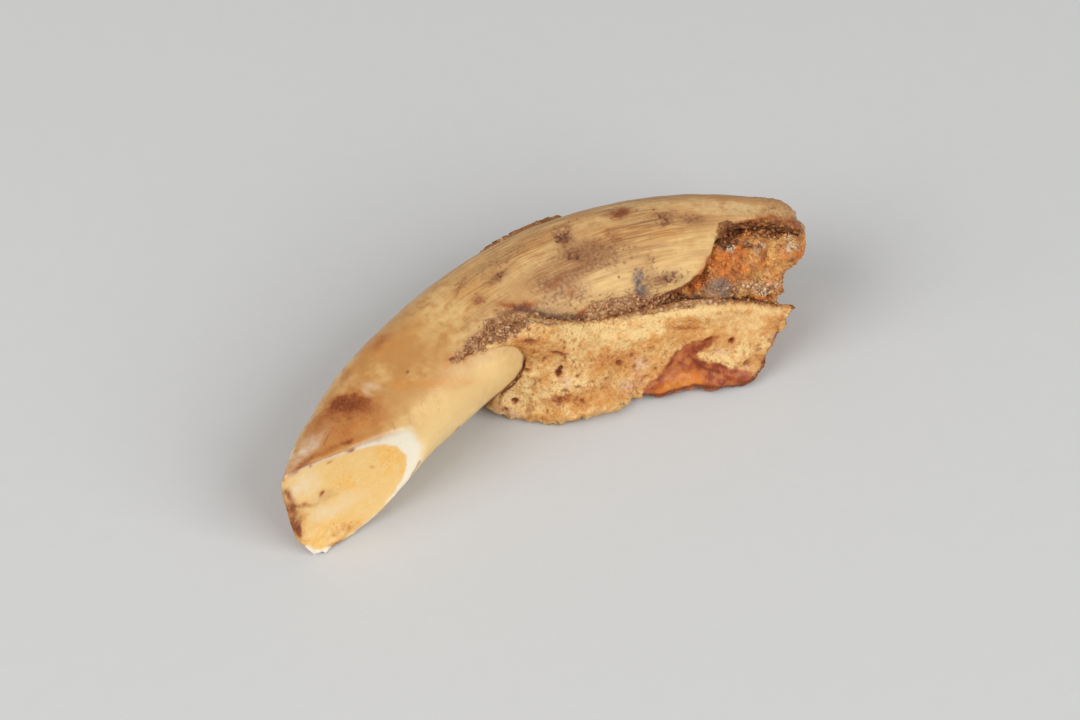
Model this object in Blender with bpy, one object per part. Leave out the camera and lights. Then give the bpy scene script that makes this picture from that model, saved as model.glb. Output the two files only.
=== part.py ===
"""A horse's incisor, worn at the biting end, with a broken piece of the jaw bone still round its root.

The tooth lies on its side. Seen from above its centreline is an arc whose hollow side, the tongue's side,
faces -Y. +X runs from the biting end to the root. Every surface is a tube round that centreline: a point
on it is given by its distance along the tooth, the angle round it and its distance from the centreline.
Lengths are in millimetres until a point is placed.
"""

import math

import bmesh
import bpy
from mathutils import Matrix, Vector, noise

MM = 0.001

# The centreline
ARC_RADIUS = 52.0
TIP_TURN = math.radians(-54.0)
TOOTH_LENGTH = 86.8

# Angles round the tooth, in degrees, of its four sides
LIP, UP, TONGUE, DOWN = 0.0, 90.0, 180.0, 270.0
FACINGS = (LIP, UP, TONGUE, DOWN)
AROUND = 38
ALONG = 46
SHARP_ANGLE = math.radians(40.0)

# Each piece's colour and roughness
TOOTH_FINISH = ((0.75, 0.55, 0.30), 0.4)
BONE_FINISH = ((0.78, 0.58, 0.33), 0.7)
FILL_FINISH = ((0.55, 0.27, 0.08), 0.7)

# The tooth's outline at stations along it: distance, reach to the lip's side, up, to the tongue's side
# and down, then height of the centreline
TOOTH_STATIONS = (
    (0.0, 3.0, 6.0, 7.0, 6.4, 6.6),
    (10.0, 3.5, 6.2, 7.2, 6.8, 6.8),
    (17.0, 4.9, 6.1, 7.7, 7.3, 6.9),
    (26.0, 6.0, 6.7, 8.0, 7.1, 7.4),
    (38.0, 6.7, 7.2, 8.0, 7.2, 8.2),
    (50.0, 7.2, 7.3, 8.0, 7.2, 9.3),
    (62.0, 6.9, 7.3, 8.0, 7.4, 10.2),
    (74.0, 6.4, 7.1, 8.0, 7.4, 10.7),
    (88.0, 4.6, 6.4, 6.8, 6.6, 11.0),
)
SQUARENESS = 2.5

# Towards the biting end the four sides turn, each by its own angle, and the corners grow sharper
TURNED_LENGTH = 34.0
TIP_TILTS = (-14, 11, 24, -24)
BOXY_LENGTH = 20.0
TIP_SQUARENESS = 7.0

# The crown's lobe on the tongue's side, which ends at the neck: where it runs and how far it stands out
LOBE_START = 30.0
LOBE_TOP = 41.0
LOBE_END = 45.0
LOBE_FACING = math.radians(172.0)
LOBE_SPREAD = math.radians(34.0)
LOBE_HEIGHT = 0.8

# The root's long shallow ridges, and its end, which is ragged and draws in
RIDGE_HEIGHT = 0.35
RIDGE_WIDTH = 0.45
RIDGE_LENGTH = 25.0
RIDGE_START = 40.0
RIDGE_FULL = 54.0
RAGGED_END = 1.0
RAGGED_FINENESS = 2.3
RAGGED_SHARE = 0.1
DRAWN_START = 83.5
DRAWN_SHARE = 0.2
RECEDED = 3.2
RECEDED_FACING = math.radians(205.0)

# The worn face: a point of its plane, the way that it faces, and the dish of dentine inside its enamel rim
WORN_POINT = (-20.4, -12.5, 8.2)
WORN_NORMAL = (-0.08, -0.97, 0.2)
WORN_REACH = 34.0
RIM_WIDTH = 0.9
DISH_RINGS = ((1.0, 0.25), (0.45, 0.5))
DISH_DEPTH = 0.55

# The hollow in the root's end, broken open on its upper side: distance along, then the angles in degrees
# of the opening's upper and lower lips
HOLLOW_STATIONS = (
    (66.5, 176.0, 182.0),
    (69.0, 169.0, 186.0),
    (71.5, 162.0, 189.0),
    (74.2, 146.0, 192.0),
    (76.5, 112.0, 195.0),
    (80.2, 100.0, 200.0),
    (84.5, 101.0, 206.0),
    (92.0, 106.0, 210.0),
)
HOLLOW_WALL = 2.2
HOLLOW_TAPER = 8.0
HOLLOW_SMALLEST = 1.6
HOLLOW_CLEAR = 3.0
NARROWEST_SHARE = 0.4
OPEN_STEPS = 18
CLOSED_STEPS = 16
CAVITY_RINGS = 22

# The crumbly matter that fills the hollow
FILL_GAP = 0.4
FILL_START = 69.5
FILL_END = 87.4
FILL_RINGS = 20
FILL_SUNK = 1.1
FILL_LIP_SUNK = 1.4
FILL_LIP_WIDTH = math.radians(35.0)
CRUMB_HEIGHT = 1.6
CRUMB_WIDTH = 1.9
CRUMB_RADIUS = 3.8

# The jaw bone: distance along, the angle of its upper edge, how far its foot reaches towards the tongue's
# side, and the angle of its edge on the lip's side
BONE_STATIONS = (
    (37.0, 138.0, 7.6, 358.0),
    (42.0, 134.0, 8.4, 360.0),
    (45.0, 136.0, 10.1, 366.0),
    (48.0, 143.0, 12.9, 376.0),
    (52.0, 158.0, 14.3, 391.0),
    (56.0, 170.0, 15.2, 393.0),
    (60.0, 176.0, 14.0, 380.0),
    (66.0, 178.0, 14.5, 362.0),
    (73.0, 179.0, 14.3, 360.0),
    (78.0, 186.0, 14.2, 358.0),
    (82.0, 194.0, 12.9, 354.0),
    (88.0, 207.0, 9.8, 350.0),
)

# Where the bone begins and ends, by the share of the way across it from its upper edge to the lip's side
BONE_START_EDGE = (
    (0.0, 37.5),
    (0.03, 39.0),
    (0.06, 43.0),
    (0.1, 45.2),
    (0.16, 45.5),
    (0.21, 45.0),
    (0.26, 43.4),
    (0.34, 40.8),
    (0.45, 43.0),
    (0.6, 45.5),
    (0.72, 43.5),
    (0.86, 46.0),
    (1.0, 44.0),
)
BONE_END_EDGE = (
    (0.0, 84.8),
    (0.04, 86.0),
    (0.07, 87.4),
    (0.1, 85.4),
    (0.16, 86.2),
    (0.22, 85.6),
    (0.28, 84.6),
    (0.34, 82.8),
    (0.45, 78.5),
    (0.58, 81.5),
    (0.72, 78.0),
    (0.86, 81.0),
    (1.0, 77.0),
)
BONE_GAP = 0.35
BONE_ACROSS = 35
BONE_ALONG = 28
BONE_CROWDING = 1.3
BONE_SQUARENESS = 9.0
NEAREST_WALL = 1.0
NEAR_SHARE = 0.36
UNDER_SHARE = 0.7
UNDER_END = 300.0

# Thickness of the bone over the tooth: at its upper edge, on the lip's side, and where it is a thin crust
BONE_LEDGE = 1.2
BONE_FAR = 1.6
BONE_CRUST = 0.5
FAR_START = 290.0
SHOULDER_SHARE = 0.04
START_LEAD = 1.0
START_SLOPE = 2.5
CRUST_START = 41.0
CRUST_END = 47.0

# The bone is flat where its lumps would reach below the surface that it rests on
FLAT_SINK = 0.05

# The bone's torn edges, and the lumps and knobs of its surface
BONE_TORN = 0.9
TORN_NOTCHES = 15.4
END_NOTCHES = Vector((0.0, 9.0, 0.0))
BONE_LUMP = 1.0
LUMP_WIDTH = 4.5
KNOB_HEIGHT = 0.35
KNOB_WIDTH = 2.0

# Pits in the bone's side: distance along, angle in degrees, radius and depth
BONE_PITS = (
    (49.6, 190.0, 1.7, 1.4),
    (43.6, 211.0, 1.2, 0.7),
    (52.0, 206.0, 1.3, 0.8),
    (61.0, 200.0, 1.6, 0.6),
)


def smooth_between(stations, distance, column):
    """A column of a table of stations, read at any distance along a smooth curve through its values."""
    last = len(stations) - 2
    i = max(0, min(last, sum(distance >= row[0] for row in stations) - 1))
    rows = [stations[max(0, min(last + 1, k))] for k in (i - 1, i, i + 1, i + 2)]
    span = rows[2][0] - rows[1][0]
    t = max(0.0, min(1.0, (distance - rows[1][0]) / span))
    before, start, end, after = (row[column] for row in rows)
    lead = (end - before) * span / max(rows[2][0] - rows[0][0], span)
    trail = (after - start) * span / max(rows[3][0] - rows[1][0], span)
    return (
        start * (2 * t**3 - 3 * t**2 + 1)
        + lead * (t**3 - 2 * t**2 + t)
        + end * (3 * t**2 - 2 * t**3)
        + trail * (t**3 - t**2)
    )


def ease(value, start, end):
    """0 at start and 1 at end, with a soft beginning and a soft end."""
    t = max(0.0, min(1.0, (value - start) / (end - start)))
    return t * t * (3 - 2 * t)


def reach(angle, walls, squareness):
    """Distance from the middle of a rounded outline to its edge. A wall is its distance and its facing."""
    total = sum((max(0.0, math.cos(angle - facing)) / wall) ** squareness for wall, facing in walls)
    return total ** (-1 / squareness)


def lobe(distance, angle):
    """How far the crown's lobe stands out here."""
    along = ease(distance, LOBE_START, LOBE_TOP) * ease(distance, LOBE_END, LOBE_TOP)
    across = max(0.0, math.cos((angle - LOBE_FACING) * math.pi / (2 * LOBE_SPREAD)))
    near = abs(math.remainder(angle - LOBE_FACING, 2 * math.pi)) < LOBE_SPREAD
    return LOBE_HEIGHT * along * across if near else 0.0


def ridges(distance, angle):
    """The long shallow ridges of the root."""
    around = Vector((math.cos(angle), math.sin(angle), 0.0)) / RIDGE_WIDTH
    wave = noise.noise(around + Vector((0.0, 0.0, distance / RIDGE_LENGTH)))
    return RIDGE_HEIGHT * wave * ease(distance, RIDGE_START, RIDGE_FULL)


def tooth_radius(distance, angle):
    """Distance of the tooth's surface from its centreline."""
    turned = max(0.0, 1.0 - distance / TURNED_LENGTH)
    boxy = max(0.0, 1.0 - distance / BOXY_LENGTH)
    walls = [
        (smooth_between(TOOTH_STATIONS, distance, k + 1), math.radians(FACINGS[k] + TIP_TILTS[k] * turned))
        for k in range(len(FACINGS))
    ]
    body = reach(angle, walls, SQUARENESS + TIP_SQUARENESS * boxy)
    drawn = 1 - DRAWN_SHARE * ease(distance, DRAWN_START, TOOTH_LENGTH + RAGGED_END) ** 2
    return body * drawn + lobe(distance, angle) + ridges(distance, angle)


def centre_height(distance):
    return smooth_between(TOOTH_STATIONS, distance, 5)


def place(distance, angle, radius):
    """The point at this distance along the tooth, angle round it and distance from its centreline."""
    turn = TIP_TURN + distance / ARC_RADIUS
    outward = Vector((math.sin(turn), math.cos(turn), 0.0))
    point = outward * (ARC_RADIUS + radius * math.cos(angle)) - Vector((0.0, ARC_RADIUS, 0.0))
    point.z = max(0.0, centre_height(distance) + radius * math.sin(angle))
    return point * MM


def add_object(name, bm, finish):
    """Finishes a piece: its mesh, with its faces pointing out, and its material."""
    colour, roughness = finish
    bmesh.ops.recalc_face_normals(bm, faces=bm.faces)
    mesh = bpy.data.meshes.new(name)
    bm.to_mesh(mesh)
    bm.free()
    piece = bpy.data.objects.new(name, mesh)
    bpy.context.scene.collection.objects.link(piece)
    material = bpy.data.materials.new(name)
    material.use_nodes = True
    shader = material.node_tree.nodes["Principled BSDF"]
    shader.inputs["Base Color"].default_value = (*colour, 1.0)
    shader.inputs["Roughness"].default_value = roughness
    mesh.materials.append(material)
    return piece


def round_off(piece):
    """Shades a piece smooth, but for its sharp edges."""
    piece.data.shade_smooth()
    piece.data.set_sharp_from_angle(angle=SHARP_ANGLE)


def skin(bm, rings):
    """Joins rings of points into a tube and closes each end with a fan."""
    loops = [[bm.verts.new(p) for p in ring] for ring in rings]
    count = len(loops[0])
    for near, far in zip(loops, loops[1:]):
        for k in range(count):
            bm.faces.new((near[k - 1], near[k], far[k], far[k - 1]))
    for loop in (loops[0], loops[-1]):
        middle = bm.verts.new(sum((v.co for v in loop), Vector()) / count)
        for k in range(count):
            bm.faces.new((loop[k - 1], loop[k], middle))


def broken_end(angle, share):
    """How far the root's broken end stands out or is broken back, at the end share of a piece."""
    around = Vector((math.cos(angle), math.sin(angle), 0.0))
    torn = RAGGED_END * noise.noise(around * RAGGED_FINENESS)
    back = RECEDED * max(0.0, math.cos(angle - RECEDED_FACING)) ** 2
    return (torn - back) * ease(share, 1 - RAGGED_SHARE, 1)


def build_tooth():
    bm = bmesh.new()
    rings = []
    for i in range(ALONG + 1):
        share = i / ALONG
        ring = []
        for k in range(AROUND):
            angle = 2 * math.pi * k / AROUND
            distance = TOOTH_LENGTH * share + broken_end(angle, share)
            ring.append(place(distance, angle, tooth_radius(distance, angle)))
        rings.append(ring)
    skin(bm, rings)
    wear_flat(bm)
    return add_object("tooth", bm, TOOTH_FINISH)


def wear_flat(bm):
    """Cuts the biting end off at the worn face, closes it and sinks the dish of dentine."""
    limit = place(WORN_REACH, 0.0, 0.0).x
    tip = [f for f in bm.faces if min(v.co.x for v in f.verts) < limit]
    edges = {e for f in tip for e in f.edges}
    verts = {v for f in tip for v in f.verts}
    cut = bmesh.ops.bisect_plane(
        bm,
        geom=list(verts) + list(edges) + tip,
        plane_co=Vector(WORN_POINT) * MM,
        plane_no=WORN_NORMAL,
        clear_outer=True,
    )
    dish(bm, in_order([g for g in cut["geom_cut"] if isinstance(g, bmesh.types.BMEdge)]))


def in_order(edges):
    """The points of a closed loop of edges, one after the other."""
    loop = [edges[0].verts[0], edges[0].verts[1]]
    edges = set(edges[1:])
    while len(edges) > 1:
        step = next(e for e in edges if loop[-1] in e.verts)
        loop.append(step.other_vert(loop[-1]))
        edges.remove(step)
    return loop


def dish(bm, rim):
    """Closes the worn face with rings that sink from the enamel rim to the middle."""
    middle = sum((v.co for v in rim), Vector()) / len(rim)
    inward = -Vector(WORN_NORMAL).normalized() * MM
    outer = rim
    for share, depth in DISH_RINGS:
        inner = []
        for v in rim:
            arm = v.co - middle
            kept = share * (arm.length - RIM_WIDTH * MM) / arm.length
            inner.append(bm.verts.new(middle + arm * kept + inward * depth))
        for k in range(len(rim)):
            bm.faces.new((outer[k - 1], outer[k], inner[k], inner[k - 1]))
        outer = inner
    bottom = bm.verts.new(middle + inward * DISH_DEPTH)
    for k in range(len(rim)):
        bm.faces.new((outer[k - 1], outer[k], bottom))


def hollow_rings(start, end, count, margin, closed_radius, open_radius):
    """Rings whose columns follow the hollow's lips, with one radius inside its opening and one outside."""
    rings = []
    for i in range(count + 1):
        distance = start + (end - start) * i / count
        upper, lower = (math.radians(smooth_between(HOLLOW_STATIONS, distance, k)) for k in (1, 2))
        inset = min(margin / tooth_radius(distance, upper), (lower - upper) * NARROWEST_SHARE)
        first, last = upper + inset, lower - inset
        ring = []
        for k in range(OPEN_STEPS + 1):
            angle = first + (last - first) * k / OPEN_STEPS
            here = distance + broken_end(angle, i / count)
            ring.append(place(here, angle, open_radius(here, angle)))
        for k in range(CLOSED_STEPS + 1):
            angle = lower + (upper + 2 * math.pi - lower) * k / CLOSED_STEPS
            here = distance + broken_end(angle, i / count)
            ring.append(place(here, angle, closed_radius(here, angle)))
        rings.append(ring)
    return rings


def cavity_radius(distance, angle):
    """The hollow's own wall, which narrows towards the neck."""
    start = HOLLOW_STATIONS[0][0]
    opened = ease(distance, start, start + HOLLOW_TAPER)
    return HOLLOW_SMALLEST + (tooth_radius(distance, angle) - HOLLOW_WALL - HOLLOW_SMALLEST) * opened


def build_cavity():
    """The shape that is cut out of the root's end."""
    bm = bmesh.new()
    rings = hollow_rings(
        HOLLOW_STATIONS[0][0],
        HOLLOW_STATIONS[-1][0],
        CAVITY_RINGS,
        0.0,
        cavity_radius,
        lambda distance, angle: tooth_radius(distance, angle) + HOLLOW_CLEAR,
    )
    skin(bm, rings)
    return add_object("cavity", bm, TOOTH_FINISH)


def fill_surface(distance, angle):
    """The crumbly face: sunk under the tooth's old surface, most of all along the upper lip."""
    upper = math.radians(smooth_between(HOLLOW_STATIONS, distance, 1))
    sunk = FILL_SUNK + FILL_LIP_SUNK * ease(angle - upper, FILL_LIP_WIDTH, 0.0)
    crumb = CRUMB_HEIGHT * noise.noise(place(distance, angle, CRUMB_RADIUS) / (CRUMB_WIDTH * MM))
    return tooth_radius(distance, angle) - sunk + min(crumb, sunk - FILL_GAP)


def build_fill():
    bm = bmesh.new()
    rings = hollow_rings(
        FILL_START,
        FILL_END,
        FILL_RINGS,
        FILL_GAP,
        lambda distance, angle: cavity_radius(distance, angle) - FILL_GAP,
        fill_surface,
    )
    skin(bm, rings)
    return add_object("socket_fill", bm, FILL_FINISH)


def bone_angle(distance, across):
    """The angle at this share of the way across the bone, whose foot always lies at the same share."""
    upper, foot, far = (smooth_between(BONE_STATIONS, distance, k) for k in (1, 2, 3))
    corner = TONGUE + math.degrees(math.atan2(centre_height(distance), foot))
    if across < NEAR_SHARE:
        start, end, share = upper, corner, across / NEAR_SHARE
    elif across < UNDER_SHARE:
        start, end, share = corner, UNDER_END, (across - NEAR_SHARE) / (UNDER_SHARE - NEAR_SHARE)
    else:
        start, end, share = UNDER_END, far, (across - UNDER_SHARE) / (1 - UNDER_SHARE)
    return math.radians(start + (end - start) * share)


def bone_radius(distance, angle):
    """Distance of the bone's outer surface from the tooth's centreline."""
    upper, foot, far = (smooth_between(BONE_STATIONS, distance, k) for k in (1, 2, 3))
    height = centre_height(distance)
    start = math.radians(upper)
    ledge = tooth_radius(distance, start) + BONE_LEDGE
    top = Vector((math.cos(start), math.sin(start))) * ledge
    slope = Vector((-foot, -height)) - top
    outward = Vector((slope.y, -slope.x)).normalized()
    walls = (
        (max(outward.dot(top), NEAREST_WALL), math.atan2(outward.y, outward.x)),
        (height + FLAT_SINK, math.radians(DOWN)),
        (tooth_radius(distance, 0.0) + BONE_FAR, math.radians(LIP)),
    )
    thickness = BONE_CRUST + (BONE_LEDGE - BONE_CRUST) * ease(distance, CRUST_START, CRUST_END)
    inside = tooth_radius(distance, angle) + BONE_GAP
    whole = max(reach(angle, walls, BONE_SQUARENESS), inside + thickness)
    thinned = ease(math.degrees(angle), far, FAR_START)
    return inside + BONE_CRUST + (whole - inside - BONE_CRUST) * thinned


def roughness(point):
    """The bone's lumps and knobs at a point, given in millimetres."""
    return BONE_LUMP * noise.noise(point / LUMP_WIDTH) + KNOB_HEIGHT * noise.noise(point / KNOB_WIDTH)


def pit_depth(distance, angle, radius):
    """How deep the bone is pitted here."""
    depth = 0.0
    for along, facing, wide, deep in BONE_PITS:
        aside = (angle - math.radians(facing)) * radius
        depth += deep * math.exp(-((distance - along) ** 2 + aside**2) / wide**2)
    return depth


def build_bone():
    bm = bmesh.new()
    outer, inner = [], []
    for i in range(BONE_ALONG + 1):
        rows = ([], [])
        for k in range(BONE_ACROSS + 1):
            across = (k / BONE_ACROSS) ** BONE_CROWDING
            torn = Vector((across * TORN_NOTCHES, 0.0, 0.0))
            start = smooth_between(BONE_START_EDGE, across, 1) + BONE_TORN * noise.noise(torn)
            end = smooth_between(BONE_END_EDGE, across, 1) + BONE_TORN * noise.noise(torn + END_NOTCHES)
            distance = start + (end - start) * i / BONE_ALONG
            angle = bone_angle(distance, across)
            inside = tooth_radius(distance, angle) + BONE_GAP
            surface = bone_radius(distance, angle)
            surface += roughness(place(distance, angle, surface) / MM) - pit_depth(distance, angle, surface)
            full = ease(across, -SHOULDER_SHARE / 2, SHOULDER_SHARE)
            full *= ease(distance - start, -START_LEAD, START_SLOPE)
            surface = inside + BONE_CRUST + max(surface - inside - BONE_CRUST, 0.0) * full
            rows[0].append(bm.verts.new(place(distance, angle, surface)))
            rows[1].append(bm.verts.new(place(distance, angle, inside)))
        outer.append(rows[0])
        inner.append(rows[1])
    for sheet in (outer, inner):
        for near, far in zip(sheet, sheet[1:]):
            for k in range(BONE_ACROSS):
                bm.faces.new((near[k], near[k + 1], far[k + 1], far[k]))
    border = [(0, k) for k in range(BONE_ACROSS)]
    border += [(i, BONE_ACROSS) for i in range(BONE_ALONG)]
    border += [(BONE_ALONG, k) for k in range(BONE_ACROSS, 0, -1)]
    border += [(i, 0) for i in range(BONE_ALONG, 0, -1)]
    for (a, b), (c, d) in zip(border, border[1:] + border[:1]):
        bm.faces.new((outer[a][b], outer[c][d], inner[c][d], inner[a][b]))
    return add_object("jaw_bone", bm, BONE_FINISH)


def cut_away(piece, cutter):
    """Cuts one object out of another and removes the cutter."""
    cut = piece.modifiers.new("cut", "BOOLEAN")
    cut.operation = "DIFFERENCE"
    cut.solver = "EXACT"
    cut.object = cutter
    result = bpy.data.meshes.new_from_object(piece.evaluated_get(bpy.context.evaluated_depsgraph_get()))
    piece.modifiers.clear()
    piece.data = result
    bpy.data.objects.remove(cutter)


def stand_at_origin(pieces):
    """Moves the pieces together, so that the origin is the middle of the bottom of their common box."""
    points = [v.co for piece in pieces for v in piece.data.vertices]
    low = Vector([min(p[k] for p in points) for k in range(3)])
    high = Vector([max(p[k] for p in points) for k in range(3)])
    shift = Vector(((low.x + high.x) / 2, (low.y + high.y) / 2, low.z))
    for piece in pieces:
        piece.data.transform(Matrix.Translation(-shift))


def main():
    for old in list(bpy.data.objects):
        bpy.data.objects.remove(old)
    tooth = build_tooth()
    cut_away(tooth, build_cavity())
    pieces = [tooth, build_fill(), build_bone()]
    for piece in pieces:
        round_off(piece)
    stand_at_origin(pieces)


main()
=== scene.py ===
"""A worn horse's incisor with a broken piece of jaw bone round its root, on a plain stage.

The solids come from the frame. Each piece starts as a copy of one of them, gets a fine even mesh, and is
then worked in relief: grooves along the root, pores in the bone, crumbs in the filling. Stains are kept as
values on the mesh's points, which the materials read.
"""

import math

import bpy
import numpy as np
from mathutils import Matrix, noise


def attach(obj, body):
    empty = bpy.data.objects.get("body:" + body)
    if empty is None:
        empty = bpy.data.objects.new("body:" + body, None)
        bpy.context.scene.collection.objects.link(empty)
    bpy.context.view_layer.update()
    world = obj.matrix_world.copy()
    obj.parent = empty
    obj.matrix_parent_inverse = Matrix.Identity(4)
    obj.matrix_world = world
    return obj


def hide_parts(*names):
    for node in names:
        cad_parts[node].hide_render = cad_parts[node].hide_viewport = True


bl_info = {
    "name": "Horse tooth",
    "version": (1, 0, 0),
    "blender": (4, 5, 0),
    "location": "3D View > Sidebar > Horse tooth",
    "description": "Builds a worn horse's incisor with jaw bone round its root, on a plain pale floor",
    "category": "Object",
}

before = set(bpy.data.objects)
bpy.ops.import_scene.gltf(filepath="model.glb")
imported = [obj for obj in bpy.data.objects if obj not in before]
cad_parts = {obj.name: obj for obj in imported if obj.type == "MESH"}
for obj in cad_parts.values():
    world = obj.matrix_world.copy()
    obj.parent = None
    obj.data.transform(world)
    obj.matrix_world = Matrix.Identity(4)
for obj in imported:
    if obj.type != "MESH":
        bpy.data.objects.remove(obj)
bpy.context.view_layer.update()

MM = 0.001
CRUMB_SEED = 7

# The tooth's centreline, which all three pieces are tubes round, is an arc seen from above: its middle, its
# radius and where it begins, and how high it lies at places along it, in millimetres
ARC_MIDDLE = np.array((0.32, -46.29)) * MM
ARC_RADIUS = 52.0 * MM
TIP_TURN = math.radians(-54.0)
HEIGHT_STATIONS = (0.0, 10.0, 17.0, 26.0, 38.0, 50.0, 62.0, 74.0, 88.0)
HEIGHTS = (6.6, 6.8, 6.9, 7.4, 8.2, 9.3, 10.2, 10.7, 11.0)

# The worn face: a point of its plane, the way that it faces, and between which depths its mask fades in
WORN_POINT = np.array((-20.08, -6.79, 8.2)) * MM
WORN_NORMAL = np.array((-0.0805, -0.976, 0.2012))
WORN_DEPTH = (-0.9 * MM, -0.65 * MM)

# The photo's camera, and its picture's size in pixels
PHOTO_AZIMUTH = math.radians(-33.0)
PHOTO_ELEVATION = math.radians(50.0)
PHOTO_LENS = 100.0
PHOTO_SENSOR = 36.0
PHOTO_DISTANCE = 375.0 * MM
PHOTO_AIM = np.array((3.32, 3.11, 0.0)) * MM
PHOTO_WIDTH = 1080
PHOTO_HEIGHT = 720
PIXEL = PHOTO_DISTANCE * PHOTO_SENSOR / PHOTO_LENS / PHOTO_WIDTH

# How far a point faces that camera where stains begin to show, and where they show fully, as cosines
SEEN_FACING = (-0.15, 0.08)

# The two soft lights: each one's azimuth and elevation, and how far off and how wide both are
LEFT_LIGHT = (PHOTO_AZIMUTH - math.radians(60), math.radians(40))
RIGHT_LIGHT = (PHOTO_AZIMUTH + math.radians(52), math.radians(36))
LIGHT_DISTANCE = 0.8
LIGHT_WIDTH = 0.6

# A crease angle so wide that a piece is rounded over nearly everywhere
ROUND_ALL_OVER = math.radians(170)

# The broken corners of the root's open end: between which of the photo's pixels each one's left side, its
# upper side and its lower side fade in
LOWER_CORNER = ((766, 800), (256, 274), (314, 294))
UPPER_CORNER = ((774, 804), (194, 204), (230, 214))


def tint(*screen):
    """A colour as a shader takes it, from its red, green and blue on a screen, each from 0 to 255."""
    return tuple(((c / 255 + 0.055) / 1.055) ** 2.4 if c > 10 else c / 255 / 12.92 for c in screen)


def smooth(values, low, high):
    """0 at low, 1 at high, with a soft beginning and a soft end."""
    t = np.clip((values - low) / (high - low), 0.0, 1.0)
    return t * t * (3 - 2 * t)


def grain(points, size, seed=0):
    """Smooth noise from about -1 to 1 at points in metres, in lumps of a size in metres."""
    shifted = points / size + seed * 17.3
    return np.array([noise.noise(p) for p in shifted.tolist()])


def cells(points, size, seed=0):
    """Distance from each point to the nearest of many scattered seeds, in shares of their spacing."""
    shifted = points / size + seed * 11.7
    return np.array([noise.voronoi(p)[0][0] for p in shifted.tolist()])


def bearing(azimuth, elevation):
    """The direction from the tooth towards a camera or a light."""
    level = math.cos(elevation)
    return np.array((math.sin(azimuth) * level, -math.cos(azimuth) * level, math.sin(elevation)))


def facing(azimuth, elevation):
    """The turn of a camera or a light that looks back along its bearing."""
    return (math.pi / 2 - elevation, 0.0, azimuth)


def photo_axes():
    """The directions back towards the photo's camera, to its right and up its picture."""
    back = bearing(PHOTO_AZIMUTH, PHOTO_ELEVATION)
    right = np.array((math.cos(PHOTO_AZIMUTH), math.sin(PHOTO_AZIMUTH), 0.0))
    return back, right, np.cross(back, right)


def vectors(items, key):
    """The places or normals of a mesh's points, as an array with a row each."""
    values = np.empty(len(items) * 3, np.float32)
    items.foreach_get(key, values)
    return values.reshape(-1, 3).astype(float)


def keep_mask(mesh, name, values):
    """Writes a value for each of a mesh's points, from 0 to 1, for the material to read."""
    layer = mesh.attributes.new(name, "FLOAT", "POINT")
    layer.data.foreach_set("value", np.clip(values, 0.0, 1.0).astype(np.float32))


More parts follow.
